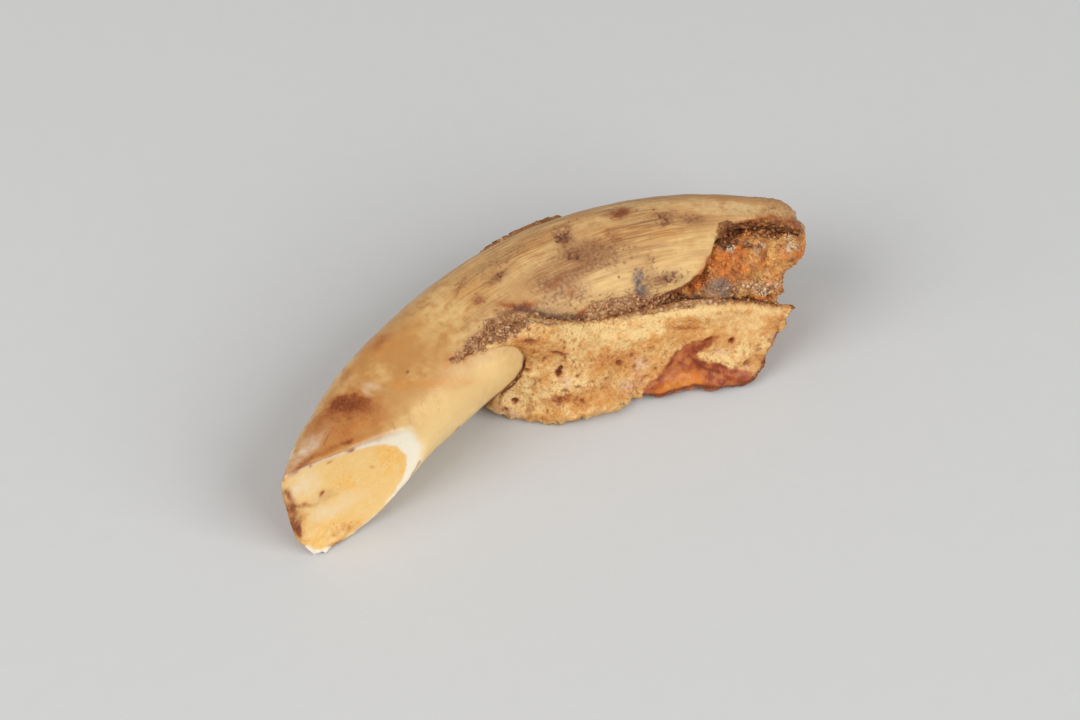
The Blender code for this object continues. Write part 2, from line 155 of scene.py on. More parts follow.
class Surface:
    """A piece's points, as arrays: where they are, where they face, and what they show of the tooth."""

    def __init__(self, piece):
        self.points = vectors(piece.data.vertices, "co")
        self.normals = vectors(piece.data.vertex_normals, "vector")
        self.find_on_tooth()
        self.find_in_photo()

    def find_on_tooth(self):
        """How far along the tooth each point is, at which angle round it and how far from its centreline."""
        arm = self.points[:, :2] - ARC_MIDDLE
        self.along = (np.arctan2(arm[:, 0], arm[:, 1]) - TIP_TURN) * ARC_RADIUS
        middle = np.interp(self.along / MM, HEIGHT_STATIONS, HEIGHTS) * MM
        out = np.hypot(arm[:, 0], arm[:, 1]) - ARC_RADIUS
        up = self.points[:, 2] - middle
        self.angle = np.degrees(np.arctan2(up, out)) % 360
        self.radius = np.hypot(out, up)
        self.straight = np.stack((out, up, self.along), axis=1)

    def find_in_photo(self):
        """Whether each point faces the photo's camera, from 0 to 1, and how far stains stray there."""
        sight = self.find_pixels()
        towards = -np.sum(sight * self.normals, axis=1) / np.linalg.norm(sight, axis=1)
        self.seen = smooth(towards, *SEEN_FACING)
        sways = [self.grain(1.6, seed) + 0.6 * self.grain(0.6, seed) for seed in (1, 2)]
        self.sway = np.stack(sways, axis=1)

    def find_pixels(self):
        """Finds which of the photo's pixels each point falls on, and gives the way from the camera to it."""
        back, right, up = photo_axes()
        sight = self.points - (PHOTO_AIM + back * PHOTO_DISTANCE)
        scale = -PHOTO_LENS / PHOTO_SENSOR * PHOTO_WIDTH / (sight @ back)
        across = PHOTO_WIDTH / 2 + scale * (sight @ right)
        down = PHOTO_HEIGHT / 2 - scale * (sight @ up)
        self.pixels = np.stack((across, down), axis=1)
        return sight

    def grain(self, size, seed=0):
        """Smooth noise from about -1 to 1, in lumps of a size in millimetres."""
        return grain(self.points, size * MM, seed)

    def stretch(self, empty, full):
        """0 at one place along the tooth and 1 at another, each in millimetres from its tip."""
        return smooth(self.along, empty * MM, full * MM)

    def window(self, left, upper, lower):
        """1 in a part of the photo, whose sides each fade in from one pixel to another."""
        across, down = self.pixels.T
        return smooth(across, *left) * smooth(down, *upper) * smooth(down, *lower)

    def spot(self, x, y, long, wide, lean=0.0):
        """A ragged spot that fades from 1 in its middle. Its middle, half length and half width are in the
        photo's pixels, and it leans anticlockwise by an angle in degrees."""
        turn = math.radians(lean)
        right, down = (self.pixels - (x, y) + self.sway * wide * 0.7).T
        along = (right * math.cos(turn) - down * math.sin(turn)) / long
        across = (right * math.sin(turn) + down * math.cos(turn)) / wide
        return np.exp(-0.7 * (along**2 + across**2) ** 1.5) * self.seen

    def spots(self, rows):
        """Several spots as one mask. Each row's last value is its strength."""
        clear = np.ones(len(self.points))
        for *place, strength in rows:
            clear *= 1 - strength * self.spot(*place)
        return 1 - clear

    def distance(self, route, ragged):
        """How far each point is from a line through points of the photo, in its pixels."""
        here = self.pixels + self.sway * ragged
        nearest = np.full(len(here), np.inf)
        for start, end in zip(route, route[1:]):
            run = np.subtract(end, start).astype(float)
            share = np.clip((here - start) @ run / (run @ run), 0.0, 1.0)
            nearest = np.minimum(nearest, np.linalg.norm(here - start - share[:, None] * run, axis=1))
        return nearest

    def nearness(self, route, reach, ragged=0.0):
        """1 on a line through points of the photo, fading away from it over a reach in its pixels."""
        return np.exp(-((self.distance(route, ragged) / reach) ** 2))

    def lines(self, rows):
        """Several ragged lines as one mask. Each row has a line's points, half width and strength."""
        drawn = [strength * self.nearness(route, width, width / 2) for route, width, strength in rows]
        return np.max(drawn, axis=0) * self.seen

    def area(self, outline, soft, ragged=0.0):
        """1 inside an outline in the photo and 0 outside, fading over a few pixels at its ragged edge."""
        x, y = (self.pixels + self.sway * ragged).T
        inside = np.zeros(len(x), bool)
        for start, end in zip(outline, outline[1:] + outline[:1]):
            if start[1] != end[1]:
                crossing = start[0] + (y - start[1]) / (end[1] - start[1]) * (end[0] - start[0])
                inside ^= ((start[1] > y) != (end[1] > y)) & (x < crossing)
        edge = self.distance(outline + outline[:1], ragged)
        return smooth(np.where(inside, edge, -edge), -soft, soft) * self.seen

    def outward(self):
        """The direction away from the tooth's centreline at each point."""
        arm = self.points[:, :2] - ARC_MIDDLE
        level = arm / np.linalg.norm(arm, axis=1)[:, None] * np.cos(np.radians(self.angle))[:, None]
        return np.column_stack((level, np.sin(np.radians(self.angle))))

    def outwardness(self):
        """1 where a point faces away from the tooth's centreline, and -1 where it faces towards it."""
        return np.sum(self.outward() * self.normals, axis=1)

    def endwardness(self):
        """1 where a point faces along the tooth to the root's end, and -1 where it faces the other way."""
        arm = self.points[:, :2] - ARC_MIDDLE
        arm = arm / np.linalg.norm(arm, axis=1)[:, None]
        return arm[:, 1] * self.normals[:, 0] - arm[:, 0] * self.normals[:, 1]

    def shift(self, moves):
        """Moves each point, and finds its pixel again."""
        self.points += moves
        self.find_pixels()

    def raise_by(self, heights):
        """Moves each point out along its normal."""
        self.shift(self.normals * heights[:, None])

    def break_corners(self, depth):
        """Sets back the corners of the root's open end, where bits have broken off."""
        broken = self.window(*LOWER_CORNER) + 0.7 * self.window(*UPPER_CORNER)
        ragged = 1 + 0.25 * self.grain(0.9, 10)
        self.shift(np.outer(-depth * broken * ragged, photo_axes()[1]))

    def cut_corner(self, start, end, roundness):
        """Takes off what lies beyond a line in the photo, down and to the left of it, with a round edge."""
        run = np.subtract(end, start) / np.linalg.norm(np.subtract(end, start))
        beyond = (self.pixels - start) @ (-run[1], run[0])
        excess = (beyond + np.hypot(beyond, roundness)) / 2 * PIXEL
        right, up = photo_axes()[1:]
        self.shift(np.outer(excess, run[1] * right + run[0] * up))

    def keep(self, piece, masks):
        """Writes the points, the masks and the straightened places to the mesh, for the material to read."""
        self.points[:, 2] = np.maximum(self.points[:, 2], 0.0)
        piece.data.vertices.foreach_set("co", self.points.astype(np.float32).ravel())
        for name, values in masks.items():
            keep_mask(piece.data, name, values)
        straight = piece.data.attributes.new("straight", "FLOAT_VECTOR", "POINT")
        straight.data.foreach_set("vector", (self.straight / MM).astype(np.float32).ravel())
        piece.data.update()


class Value:
    """A socket of a material's node, on which sums can be written."""

    def __init__(self, maker, socket):
        self.maker = maker
        self.socket = socket

    def maths(self, operation, first, second):
        """The value that a Math node works out from two values or numbers."""
        return self.maker.node("ShaderNodeMath", {"operation": operation}, {0: first, 1: second})

    def __add__(self, other):
        return self.maths("ADD", self, other)

    def __radd__(self, other):
        return self.maths("ADD", other, self)

    def __sub__(self, other):
        return self.maths("SUBTRACT", self, other)

    def __rsub__(self, other):
        return self.maths("SUBTRACT", other, self)

    def __mul__(self, other):
        return self.maths("MULTIPLY", self, other)

    def __rmul__(self, other):
        return self.maths("MULTIPLY", other, self)

    def between(self, low, high, start=0.0, end=1.0):
        """start where the value is low, end where it is high, and a smooth step from one to the other."""
        return self.maker.node(
            "ShaderNodeMapRange",
            {"interpolation_type": "SMOOTHSTEP"},
            {"Value": self, "From Min": low, "From Max": high, "To Min": start, "To Max": end},
        )


class Maker:
    """Makes one material out of nodes."""

    def __init__(self, name):
        self.material = bpy.data.materials.new(name)
        self.material.use_nodes = True
        self.tree = self.material.node_tree
        self.shader = self.tree.nodes["Principled BSDF"]
        place = self.node("ShaderNodeTexCoord", output="Object")
        self.place = self.scaled(place, (1 / MM, 1 / MM, 1 / MM))
        swirl = self.node("ShaderNodeTexNoise", None, {"Vector": self.place, "Scale": 2.0}, output="Color")
        bend = self.scaled(swirl, (0.5, 0.5, 0.5))
        self.warped = self.node("ShaderNodeVectorMath", {"operation": "ADD"}, {0: self.place, 1: bend})
        self.colour = None

    def node(self, kind, settings=None, inputs=None, output=0):
        """Adds a node, with its settings first and then the values or links of its sockets."""
        made = self.tree.nodes.new(kind)
        for key, value in (settings or {}).items():
            setattr(made, key, value)
        for key, value in (inputs or {}).items():
            self.feed(made.inputs[key], value)
        return Value(self, made.outputs[output])

    def feed(self, socket, value):
        """Links a socket to a value's, or sets it to a number or a vector."""
        if isinstance(value, Value):
            self.tree.links.new(value.socket, socket)
        else:
            socket.default_value = value

    def scaled(self, vector, scale):
        """A vector with each of its axes scaled."""
        return self.node("ShaderNodeVectorMath", {"operation": "MULTIPLY"}, {0: vector, 1: scale})

    def mask(self, name):
        """A value that is kept on the mesh's points."""
        return self.node("ShaderNodeAttribute", {"attribute_name": name}, output="Fac")

    def noise(self, size, detail=2.0, place=None, seed=0.0):
        """Noise from 0 to 1 in lumps of a size in millimetres."""
        values = {"Vector": place or self.place, "W": seed, "Scale": 1 / size, "Detail": detail}
        return self.node("ShaderNodeTexNoise", {"noise_dimensions": "4D"}, values, output="Fac")

    def cells(self, size, place=None, output="Distance"):
        """Distance to the nearest of many scattered seeds, whose spacing is a size in millimetres."""
        values = {"Vector": place or self.place, "Scale": 1 / size}
        return self.node("ShaderNodeTexVoronoi", None, values, output)

    def grained(self, width, length):
        """Noise drawn out along the tooth, with its width and its length in millimetres."""
        straight = self.node("ShaderNodeAttribute", {"attribute_name": "straight"}, output="Vector")
        return self.noise(1.0, place=self.scaled(straight, (1 / width, 1 / width, 1 / length)))

    def broken(self, name, noise, roughness=2.5):
        """A mask whose fading edge is broken up by noise."""
        mask = self.mask(name)
        uneven = mask * 1.4 - 0.35 + (noise - 0.5) * roughness
        return uneven.between(0.0, 0.8) * mask.between(0.0, 0.15)

    def soft(self, name, noise, strength=1.0):
        """A mask that noise makes uneven, without a hard edge."""
        return self.mask(name) * noise.between(0.2, 0.7, 0.35, 1.3) * strength

    def speckled(self, name, size=0.42):
        """A mask as scattered grains, whose spacing is about a size in millimetres."""
        mask = self.mask(name)
        uneven = mask * 1.1 - 0.7 + (self.noise(size, 4.0) - 0.5) * 5.5
        return uneven.between(-0.2, 0.9) * mask.between(0.05, 0.3)

    def crumbly(self, size, dark, middle, pale, seam_shade=0.6):
        """The colour of crumbs that each have a tone of their own, with the seams between them darkened as
        painted shade.
        """
        shade = self.cells(size, self.warped, "Color")
        colour = self.blend(shade.between(0.25, 0.5), dark, middle)
        colour = self.blend(shade.between(0.6, 0.8), colour, pale)
        return self.blend(self.cells(size, self.warped).between(0.4, 0.7) * seam_shade, colour, dark)

    def dots(self, size, share):
        """Scattered round dots: their spacing in millimetres, and their radius as a share of it."""
        return self.cells(size).between(share, share * 0.6)

    def blend(self, factor, first, second):
        """The first colour where the factor is 0, and the second where it is 1."""
        first, second = (c if isinstance(c, Value) else (*c, 1.0) for c in (first, second))
        settings = {"data_type": "RGBA", "clamp_factor": True}
        return self.node("ShaderNodeMix", settings, {0: factor, 6: first, 7: second}, output=2)

    def paint(self, colour, factor):
        """Lays a colour over what is there so far."""
        self.colour = self.blend(factor, self.colour, colour)

    def finish(self, piece, roughness, relief, depth, fixed):
        """Joins up the shader, with its relief's depth in metres, and gives the material to the piece."""
        bump = self.node("ShaderNodeBump", None, {"Height": relief, "Distance": depth}, output="Normal")
        varied = {"Base Color": self.colour, "Roughness": roughness, "Normal": bump}
        for name, value in {**varied, **fixed}.items():
            self.feed(self.shader.inputs[name], value)
        piece.data.materials.clear()
        piece.data.materials.append(self.material)


def deselect():
    """Leaves nothing selected, so that an operator acts on nothing else."""
    for thing in bpy.context.selected_objects:
        thing.select_set(False)


def add_piece(name, mesh):
    """Adds a piece with a mesh of its own, and makes it the only one that operators act on."""
    piece = bpy.data.objects.new(name, mesh)
    bpy.context.scene.collection.objects.link(piece)
    deselect()
    piece.select_set(True)
    bpy.context.view_layer.objects.active = piece
    return piece


def apply_modifier(piece, name, kind, **settings):
    """Adds a modifier with its settings to the piece in work, and applies it."""
    modifier = piece.modifiers.new(name, kind)
    for key, value in settings.items():
        setattr(modifier, key, value)
    bpy.ops.object.modifier_apply(modifier=modifier.name)


def fine_copy(node, name, crease_angle, mesh_size):
    """A copy of a solid with its faces rounded over and an even mesh, under a name of its own."""
    piece = add_piece(name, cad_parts[node].data.copy())
    bpy.ops.object.mode_set(mode="EDIT")
    bpy.ops.mesh.select_mode(type="EDGE")
    bpy.ops.mesh.select_all(action="SELECT")
    bpy.ops.mesh.remove_doubles(threshold=0.001 * MM)
    bpy.ops.mesh.tris_convert_to_quads(face_threshold=math.radians(40), shape_threshold=math.radians(60))
    bpy.ops.mesh.select_all(action="DESELECT")
    bpy.ops.mesh.edges_select_sharp(sharpness=crease_angle)
    bpy.ops.transform.edge_crease(value=0.8)
    bpy.ops.object.mode_set(mode="OBJECT")
    apply_modifier(piece, "Rounded", "SUBSURF", levels=2, render_levels=2)
    apply_modifier(piece, "Even mesh", "REMESH", mode="VOXEL", voxel_size=mesh_size)
    apply_modifier(piece, "Softened", "SMOOTH", factor=0.5, iterations=5)
    bpy.ops.object.shade_smooth()
    return piece


def even_out(piece, route, reach):
    """Smooths the mesh along a thin edge, which the even mesh leaves in steps. The edge's line and its
    reach are in the photo's pixels. Gives each point's nearness to it."""
    near = Surface(piece).nearness(route, reach)
    group = piece.vertex_groups.new(name="Thin edge")
    for index in np.flatnonzero(near > 0.02):
        group.add([int(index)], near[index], "REPLACE")
    apply_modifier(piece, "Evened edge", "SMOOTH", vertex_group=group.name, factor=0.5, iterations=24)
    piece.vertex_groups.clear()
    return near


def hand_over(piece, node):
    """Puts the finished piece in the place of its solid."""
    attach(piece, "root")
    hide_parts(node)


# Outlines on the worn face, in the photo's pixels: its dentine, and the white enamel beside it
DENTINE = [
    (279, 479), (290, 475), (306, 468), (330, 459), (352, 451), (370, 446), (386, 444), (397, 447),
    (406, 456), (407, 464), (403, 478), (394, 492), (380, 506), (361, 524), (341, 542), (327, 550),
    (311, 550), (297, 540), (289, 510), (283, 492),
]
ENAMEL = [
    (352, 451), (362, 446), (376, 441), (390, 435), (402, 430), (412, 431), (421, 446), (420, 458),
    (414, 472), (407, 486), (396, 498), (386, 500), (398, 470), (396, 452), (384, 448), (368, 452),
]

# Stains, by kind, with a painted sheen among the cream ones. Each row has its middle, its half length and
# half width in the photo's pixels, how it leans in degrees, and its strength
TOOTH_STAINS = {
    "rust": (
        (349, 404, 18, 7, 4, 0.75), (348, 408, 26, 12, 10, 0.42), (350, 420, 28, 16, 12, 0.28),
        (334, 432, 26, 10, 30, 0.2), (470, 353, 9, 2, 32, 0.9), (455, 358, 8, 2, 6, 0.9),
        (376, 414, 10, 15, 0, 0.3), (322, 422, 22, 8, 52, 0.35), (322, 493, 4, 1.5, 55, 0.6),
        (351, 450, 4, 1.5, 20, 0.7), (311, 466, 1.5, 1.5, 0, 0.7), (372, 467, 2, 1, 0, 0.5),
        (330, 462, 3, 1, 30, 0.5), (304, 463, 16, 3, 36, 0.6), (334, 448, 22, 3, 26, 0.45),
        (349, 442, 6, 3, 20, 0.6), (622, 213, 9, 4, 8, 0.9), (478, 300, 6, 4, 0, 0.5),
        (459, 288, 8, 2, 62, 0.4), (293, 516, 20, 5, -72, 0.7), (286, 492, 7, 3, -60, 0.6),
        (296, 531, 8, 4, -72, 0.8), (302, 506, 10, 2, 8, 0.55), (300, 516, 6, 8, 0, 0.35),
        (281, 476, 5, 3, -70, 0.6), (337, 543, 7, 3, 30, 0.55), (344, 529, 12, 5, 20, 0.3),
        (324, 497, 14, 4, 30, 0.2), (457, 430, 5, 1.2, 45, 0.6), (448, 439, 3, 1, 45, 0.4),
        (515, 308, 14, 4, -14, 0.75), (527, 305, 7, 5, 20, 0.7), (583, 314, 5, 8, -30, 0.7),
        (380, 343, 9, 4, 40, 0.5), (346, 376, 9, 3, 45, 0.4), (555, 283, 9, 4, 25, 0.55),
        (572, 292, 6, 4, 20, 0.5), (614, 236, 5, 6, 0, 0.3),
    ),
    "amber": (
        (436, 383, 42, 6, 2, 0.9), (446, 385, 16, 5, 0, 1.0), (703, 264, 8, 4, 50, 0.9),
        (372, 350, 20, 9, 42, 0.8), (350, 372, 16, 8, 45, 0.35), (332, 420, 34, 22, 38, 0.5),
        (362, 426, 24, 14, 10, 0.5), (338, 440, 40, 9, 28, 0.5), (391, 459, 14, 15, 70, 0.9),
        (356, 478, 40, 22, 30, 0.3), (346, 485, 10, 7, 20, 0.7), (342, 527, 20, 9, 20, 1.0),
        (314, 543, 14, 6, -10, 0.8), (300, 520, 12, 14, -70, 0.6), (458, 292, 14, 6, 40, 0.5),
        (406, 336, 34, 10, 42, 0.4), (446, 364, 4, 4, 0, 0.7), (512, 310, 20, 7, 12, 0.7),
        (470, 350, 20, 8, 30, 0.4), (668, 232, 26, 6, 4, 0.4), (745, 200, 40, 4, -4, 0.35),
        (604, 236, 30, 8, 20, 0.4), (540, 240, 30, 6, 30, 0.4), (480, 290, 20, 8, 40, 0.4),
        (640, 268, 20, 5, 16, 0.3),
    ),
    "grit": (
        (622, 213, 14, 5, 8, 1.0), (613, 236, 6, 8, 0, 0.8), (597, 252, 34, 16, 6, 0.75),
        (578, 256, 16, 6, 0, 1.0), (574, 274, 34, 6, 18, 1.0), (562, 288, 20, 9, 4, 0.9),
        (580, 294, 11, 6, 0, 0.9), (563, 238, 11, 12, 0, 1.0), (497, 277, 13, 5, 28, 1.0),
        (480, 300, 8, 6, 0, 0.8), (458, 288, 14, 4, 62, 0.7), (664, 220, 11, 7, 0, 1.0),
        (694, 219, 14, 4, 0, 0.8), (664, 279, 20, 8, 4, 1.0), (651, 264, 5, 9, 0, 0.9),
        (640, 296, 11, 9, 0, 1.0), (639, 284, 11, 14, 0, 0.8), (602, 298, 20, 6, 10, 0.5),
        (560, 302, 30, 6, -16, 0.6), (500, 262, 40, 5, 34, 0.6), (600, 206, 60, 5, 8, 0.25),
        (770, 209, 6, 3, 0, 0.7), (760, 214, 40, 4, -6, 0.2), (800, 232, 5, 16, 0, 1.0),
        (720, 206, 60, 8, 0, 0.12),
    ),
    "soot": (
        (563, 238, 7, 8, 0, 1.0), (559, 235, 9, 2, 15, 0.8), (574, 257, 7, 4, 0, 0.8),
        (668, 279, 10, 4, 4, 0.75), (640, 302, 8, 4, 0, 0.5), (648, 306, 12, 3, 20, 0.4),
        (499, 275, 5, 3, 28, 0.7), (550, 282, 4, 3, 0, 0.8), (664, 218, 5, 3, 0, 0.7),
        (666, 224, 5, 1, 30, 0.8), (773, 208, 3, 1, 0, 0.9), (407, 372, 1.5, 2, 0, 1.0),
        (425, 376, 1, 1, 0, 0.6), (393, 426, 1, 3, 30, 0.8),
    ),
    "haze": (
        (598, 252, 26, 14, 6, 0.8), (574, 248, 20, 14, 0, 0.5), (572, 272, 36, 6, 18, 0.6),
        (562, 288, 20, 9, 4, 0.5), (497, 278, 14, 5, 28, 0.5), (542, 274, 28, 12, 28, 0.4),
        (648, 220, 30, 5, 2, 0.5), (694, 220, 12, 4, 0, 0.6), (655, 278, 20, 8, 0, 0.6),
        (504, 256, 40, 5, 32, 0.35), (620, 212, 40, 4, 6, 0.35), (768, 216, 44, 4, -6, 0.35),
        (797, 228, 5, 18, 0, 0.7), (470, 322, 14, 5, 40, 0.35), (550, 310, 40, 6, -6, 0.45),
        (536, 308, 20, 6, -10, 0.7), (490, 330, 36, 14, 40, 0.5),
    ),
    "slate": (
        (637, 280, 5, 7, 0, 1.0), (641, 290, 5, 5, 0, 1.0),
    ),
    "milk": (
        (371, 386, 11, 3, -14, 0.5), (366, 391, 8, 2, -30, 0.5), (307, 447, 24, 7, 42, 1.0),
        (303, 487, 16, 12, 20, 0.9), (324, 512, 15, 7, 12, 0.75), (344, 502, 24, 6, 30, 0.5),
        (735, 208, 50, 5, -3, 0.15),
    ),
    "pale_soil": (
        (610, 302, 20, 6, 12, 0.9), (630, 304, 14, 4, 0, 0.8), (648, 308, 14, 3, 10, 0.8),
        (478, 334, 12, 5, 34, 0.5), (508, 318, 12, 4, 10, 0.5),
    ),
    "cream": (
        (730, 209, 56, 6, -3, 0.9), (640, 206, 50, 4, 4, 0.7), (612, 285, 44, 10, 16, 0.45),
        (682, 272, 22, 8, 20, 0.65), (440, 306, 20, 14, 44, 0.6), (344, 384, 14, 8, 50, 0.5),
        (596, 222, 34, 4, 8, 0.7), (545, 262, 30, 5, 28, 0.6), (520, 270, 30, 4, 34, 0.4),
        (498, 370, 22, 14, 35, 1.0), (462, 330, 14, 8, 40, 0.6), (418, 374, 12, 8, 20, 0.5),
        (480, 330, 26, 8, 36, 0.7), (448, 318, 26, 8, 40, 0.6), (700, 240, 30, 10, 10, 0.6),
        (560, 246, 40, 8, 24, 0.5), (380, 372, 10, 12, 40, 0.5), (430, 405, 40, 10, 34, 0.6),
        # The three rows below lay a pale strip along the crown's upper left outline: partly the tooth's own
        # paleness, partly a painted sheen where the light grazes that edge
        (293, 446, 22, 6, 64, 0.75), (314, 407, 26, 6, 56, 0.7), (343, 368, 24, 6, 50, 0.7),
    ),
}

# Lines in the photo, by kind: their points, their half widths in its pixels and their strengths
TOOTH_LINES = {
    "rim": (
        ([(405, 492), (391, 506), (371, 522), (357, 532)], 2.8, 0.9),
        ([(353, 536), (343, 544)], 2.4, 0.9),
        ([(340, 544), (331, 549), (322, 552), (313, 552), (306, 548)], 2.6, 1.0),
        # The line below, along the worn face's upper edge, is partly enamel and partly a painted highlight
        ([(286, 476), (304, 468), (333, 457), (356, 449), (376, 443)], 1.8, 0.55),
    ),
    "seam": (
        ([(520, 350), (524, 356), (524, 362)], 1.4, 0.7),
        ([(524, 362), (523, 368), (516, 379), (504, 389)], 1.3, 1.0),
        ([(504, 389), (490, 401), (480, 410)], 1.3, 0.8),
        ([(462, 357), (476, 351), (490, 346)], 1.2, 0.5),
        ([(640, 308), (652, 301), (666, 295), (680, 289), (690, 283), (698, 276)], 1.9, 1.0),
    ),
    "dark_lines": (
        # The first line is painted shadow in the groove where the root overhangs the bone's upper edge; the
        # others are cracks
        ([(517, 308), (530, 311), (545, 315), (560, 317), (580, 318)], 4.5, 0.9),
        ([(420, 461), (407, 484)], 1.5, 0.6),
        ([(330, 432), (324, 445)], 1.4, 0.5),
        ([(660, 222), (684, 226), (716, 225)], 1.5, 0.45),
        ([(490, 284), (506, 274)], 1.5, 0.4),
    ),
}

# The rim of the hollow in the root's open end, and its half width, in the photo's pixels
HOLLOW_RIM = [
    (630, 314), (648, 305), (662, 299), (682, 291), (695, 282), (703, 270), (709, 258), (718, 249),
    (720, 236), (728, 227), (746, 222), (770, 219), (792, 223), (803, 234),
]
HOLLOW_RIM_WIDTH = 3.4

# Where crumbs and soil lie, in the photo's pixels: along the upper edge of the bone, by its left end, on the
# wall of the root's open end, and under its rim, where they are darkened as painted shade
GROOVE = [
    (522, 311), (534, 313), (556, 318), (580, 319), (590, 305), (604, 299), (622, 296), (646, 294),
    (664, 293), (690, 294), (706, 297), (742, 293), (770, 297), (786, 306), (740, 304), (700, 306),
    (640, 316), (590, 322), (545, 324), (528, 320),
]
CRUST = [
    (453, 358), (464, 349), (469, 338), (480, 328), (491, 319), (503, 312), (520, 310), (528, 318),
    (522, 328), (512, 335), (500, 340), (489, 346), (475, 352), (462, 357),
]
WALL = [(776, 272), (806, 244), (808, 262), (794, 298), (764, 304), (770, 288)]
HOLLOW = [
    (715, 250), (716, 236), (718, 224), (726, 219), (742, 221), (764, 220), (786, 222), (797, 228),
    (802, 244), (780, 250), (730, 254),
]

# Spots on the tooth, as the stains above but without a strength: where the root has no grooves, the chips
# in the worn face's left edge, and its lower edge, which stands forward, most of all in its middle
UNGROOVED = (486, 376, 44, 18, 38)
CHIPPED_EDGE = (288, 508, 9, 34, -14)
LOWER_EDGE = (326, 546, 26, 14, 20)
LOWER_EDGE_MIDDLE = (324, 551, 11, 6)

# The worn face's left edge, where the tooth is thinnest, and how far round it is evened out, in pixels
THIN_EDGE = [(282, 474), (285, 492), (291, 516), (297, 546), (306, 554)]
THIN_EDGE_REACH = 8.0

# The line in the photo along which the tip's lower corner is worn off, and how softly it turns, in pixels
TIP_CUT = ((294, 539), (312, 554))
CUT_ROUNDNESS = 4.0

# Where the tooth's parts begin or end, in millimetres from its tip: where each mask is 0, and where it is 1
ROOT_START = (34, 52)
NECK_START = (30, 40)
NECK_END = (56, 46)
WORN_END = (34, 30)
GROOVES_END = (84, 64)
OPEN_END = (78, 84)

# The pale side: at these places along the tooth, in millimetres, it begins at these angles round it, in
# degrees. It fades in from before them to beyond them, and then out again
PALE_STATIONS = (20, 45, 60, 85)
PALE_ANGLES = (146, 146, 128, 118)
PALE_BEFORE = 30
PALE_BEYOND = 22
PALE_END = (300, 240)

# How wide, how high and how long the root's grooves are, in millimetres
COARSE_GROOVES = (0.5, 0.5, 9.0)
FINE_GROOVES = (0.28, 0.28, 6.0)


def worn_face(surface):
    """1 on the worn face, and 0 on the rest of the tooth."""
    depth = (surface.points - WORN_POINT) @ WORN_NORMAL
    return smooth(depth, *WORN_DEPTH) * surface.stretch(*WORN_END)


def tooth_forms(surface):
    """The tooth's masks that its relief needs as well as its material."""
    turning = np.interp(surface.along / MM, PALE_STATIONS, PALE_ANGLES)
    pale = smooth(surface.angle, turning - PALE_BEFORE, turning + PALE_BEYOND)
    pale *= smooth(surface.angle, *PALE_END)
    root = surface.stretch(*ROOT_START)
    grooved = root * smooth(surface.grain(6, 5), -0.9, 0.1) * (1 - 0.5 * pale)
    grooved *= (surface.stretch(*GROOVES_END) * 0.7 + 0.3) * (1 - 0.9 * surface.spot(*UNGROOVED))
    crust = surface.area(CRUST, soft=5.0, ragged=6.0)
    return {
        "root": root,
        "pale": pale,
        "grooved": grooved,
        "end": surface.stretch(*OPEN_END),
        "edge": surface.lines([(HOLLOW_RIM, HOLLOW_RIM_WIDTH, 1.0)]),
        "groove": np.maximum(surface.area(GROOVE, soft=2.5, ragged=2.5), crust),
        "hollow": surface.area(HOLLOW, soft=2.0, ragged=2.0),
        "wall": surface.area(WALL, soft=3.0, ragged=3.0),
    }


def tooth_relief(surface, forms, face, sizes):
    """How far each point of the tooth stands out."""
    lines = grain(surface.straight / COARSE_GROOVES, MM)
    lines += 0.6 * grain(surface.straight / FINE_GROOVES, MM, 3)
    soiled = 1.6 * forms["edge"] + 2.5 * forms["end"] + 2.5 * forms["groove"]
    soiled += 3.0 * (forms["hollow"] + forms["wall"]) + 1.5 * surface.spots(TOOTH_STAINS["soot"])
    worn = surface.grain(2.5) * (1 - face)
    worn += soiled * (0.5 + surface.grain(0.8, 2) + 0.6 * surface.grain(0.4, 4))
    return sizes.groove_depth * forms["grooved"] * lines + sizes.wear_depth * worn


def build_tooth(sizes):
    """Makes the tooth: its mesh, its relief, its masks and its material."""
    piece = fine_copy("tooth", "incisor", sizes.crease_angle, sizes.mesh_size)
    thin_edge = even_out(piece, THIN_EDGE, THIN_EDGE_REACH)
    surface = Surface(piece)
    surface.break_corners(sizes.corner_loss)
    forms = tooth_forms(surface)
    face = worn_face(surface)
    chips = smooth(surface.grain(1.4, 8), 0.0, 0.8) * surface.spot(*CHIPPED_EDGE)
    surface.raise_by(tooth_relief(surface, forms, face, sizes))
    rootward = (math.cos(TIP_TURN), -math.sin(TIP_TURN), 0.0)
    surface.shift(np.outer(chips * sizes.chip_depth - thin_edge * sizes.edge_reach, rootward))
    forward = surface.spot(*LOWER_EDGE) + 0.6 * surface.spot(*LOWER_EDGE_MIDDLE)
    surface.shift(np.outer(forward * sizes.tip_reach, bearing(PHOTO_AZIMUTH, 0.0)))
    surface.cut_corner(*TIP_CUT, CUT_ROUNDNESS)
    masks = {
        **forms,
        **{kind: surface.spots(rows) for kind, rows in TOOTH_STAINS.items()},
        **{kind: surface.lines(rows) for kind, rows in TOOTH_LINES.items()},
        "neck": surface.stretch(*NECK_START) * surface.stretch(*NECK_END),
        "dentine": surface.area(DENTINE, soft=1.0, ragged=0.8) * face,
        "enamel": surface.area(ENAMEL, soft=9.0, ragged=1.5),
        "unseen": 1 - surface.seen,
    }
    surface.keep(piece, masks)
    paint_tooth(piece, sizes)
    hand_over(piece, "tooth")


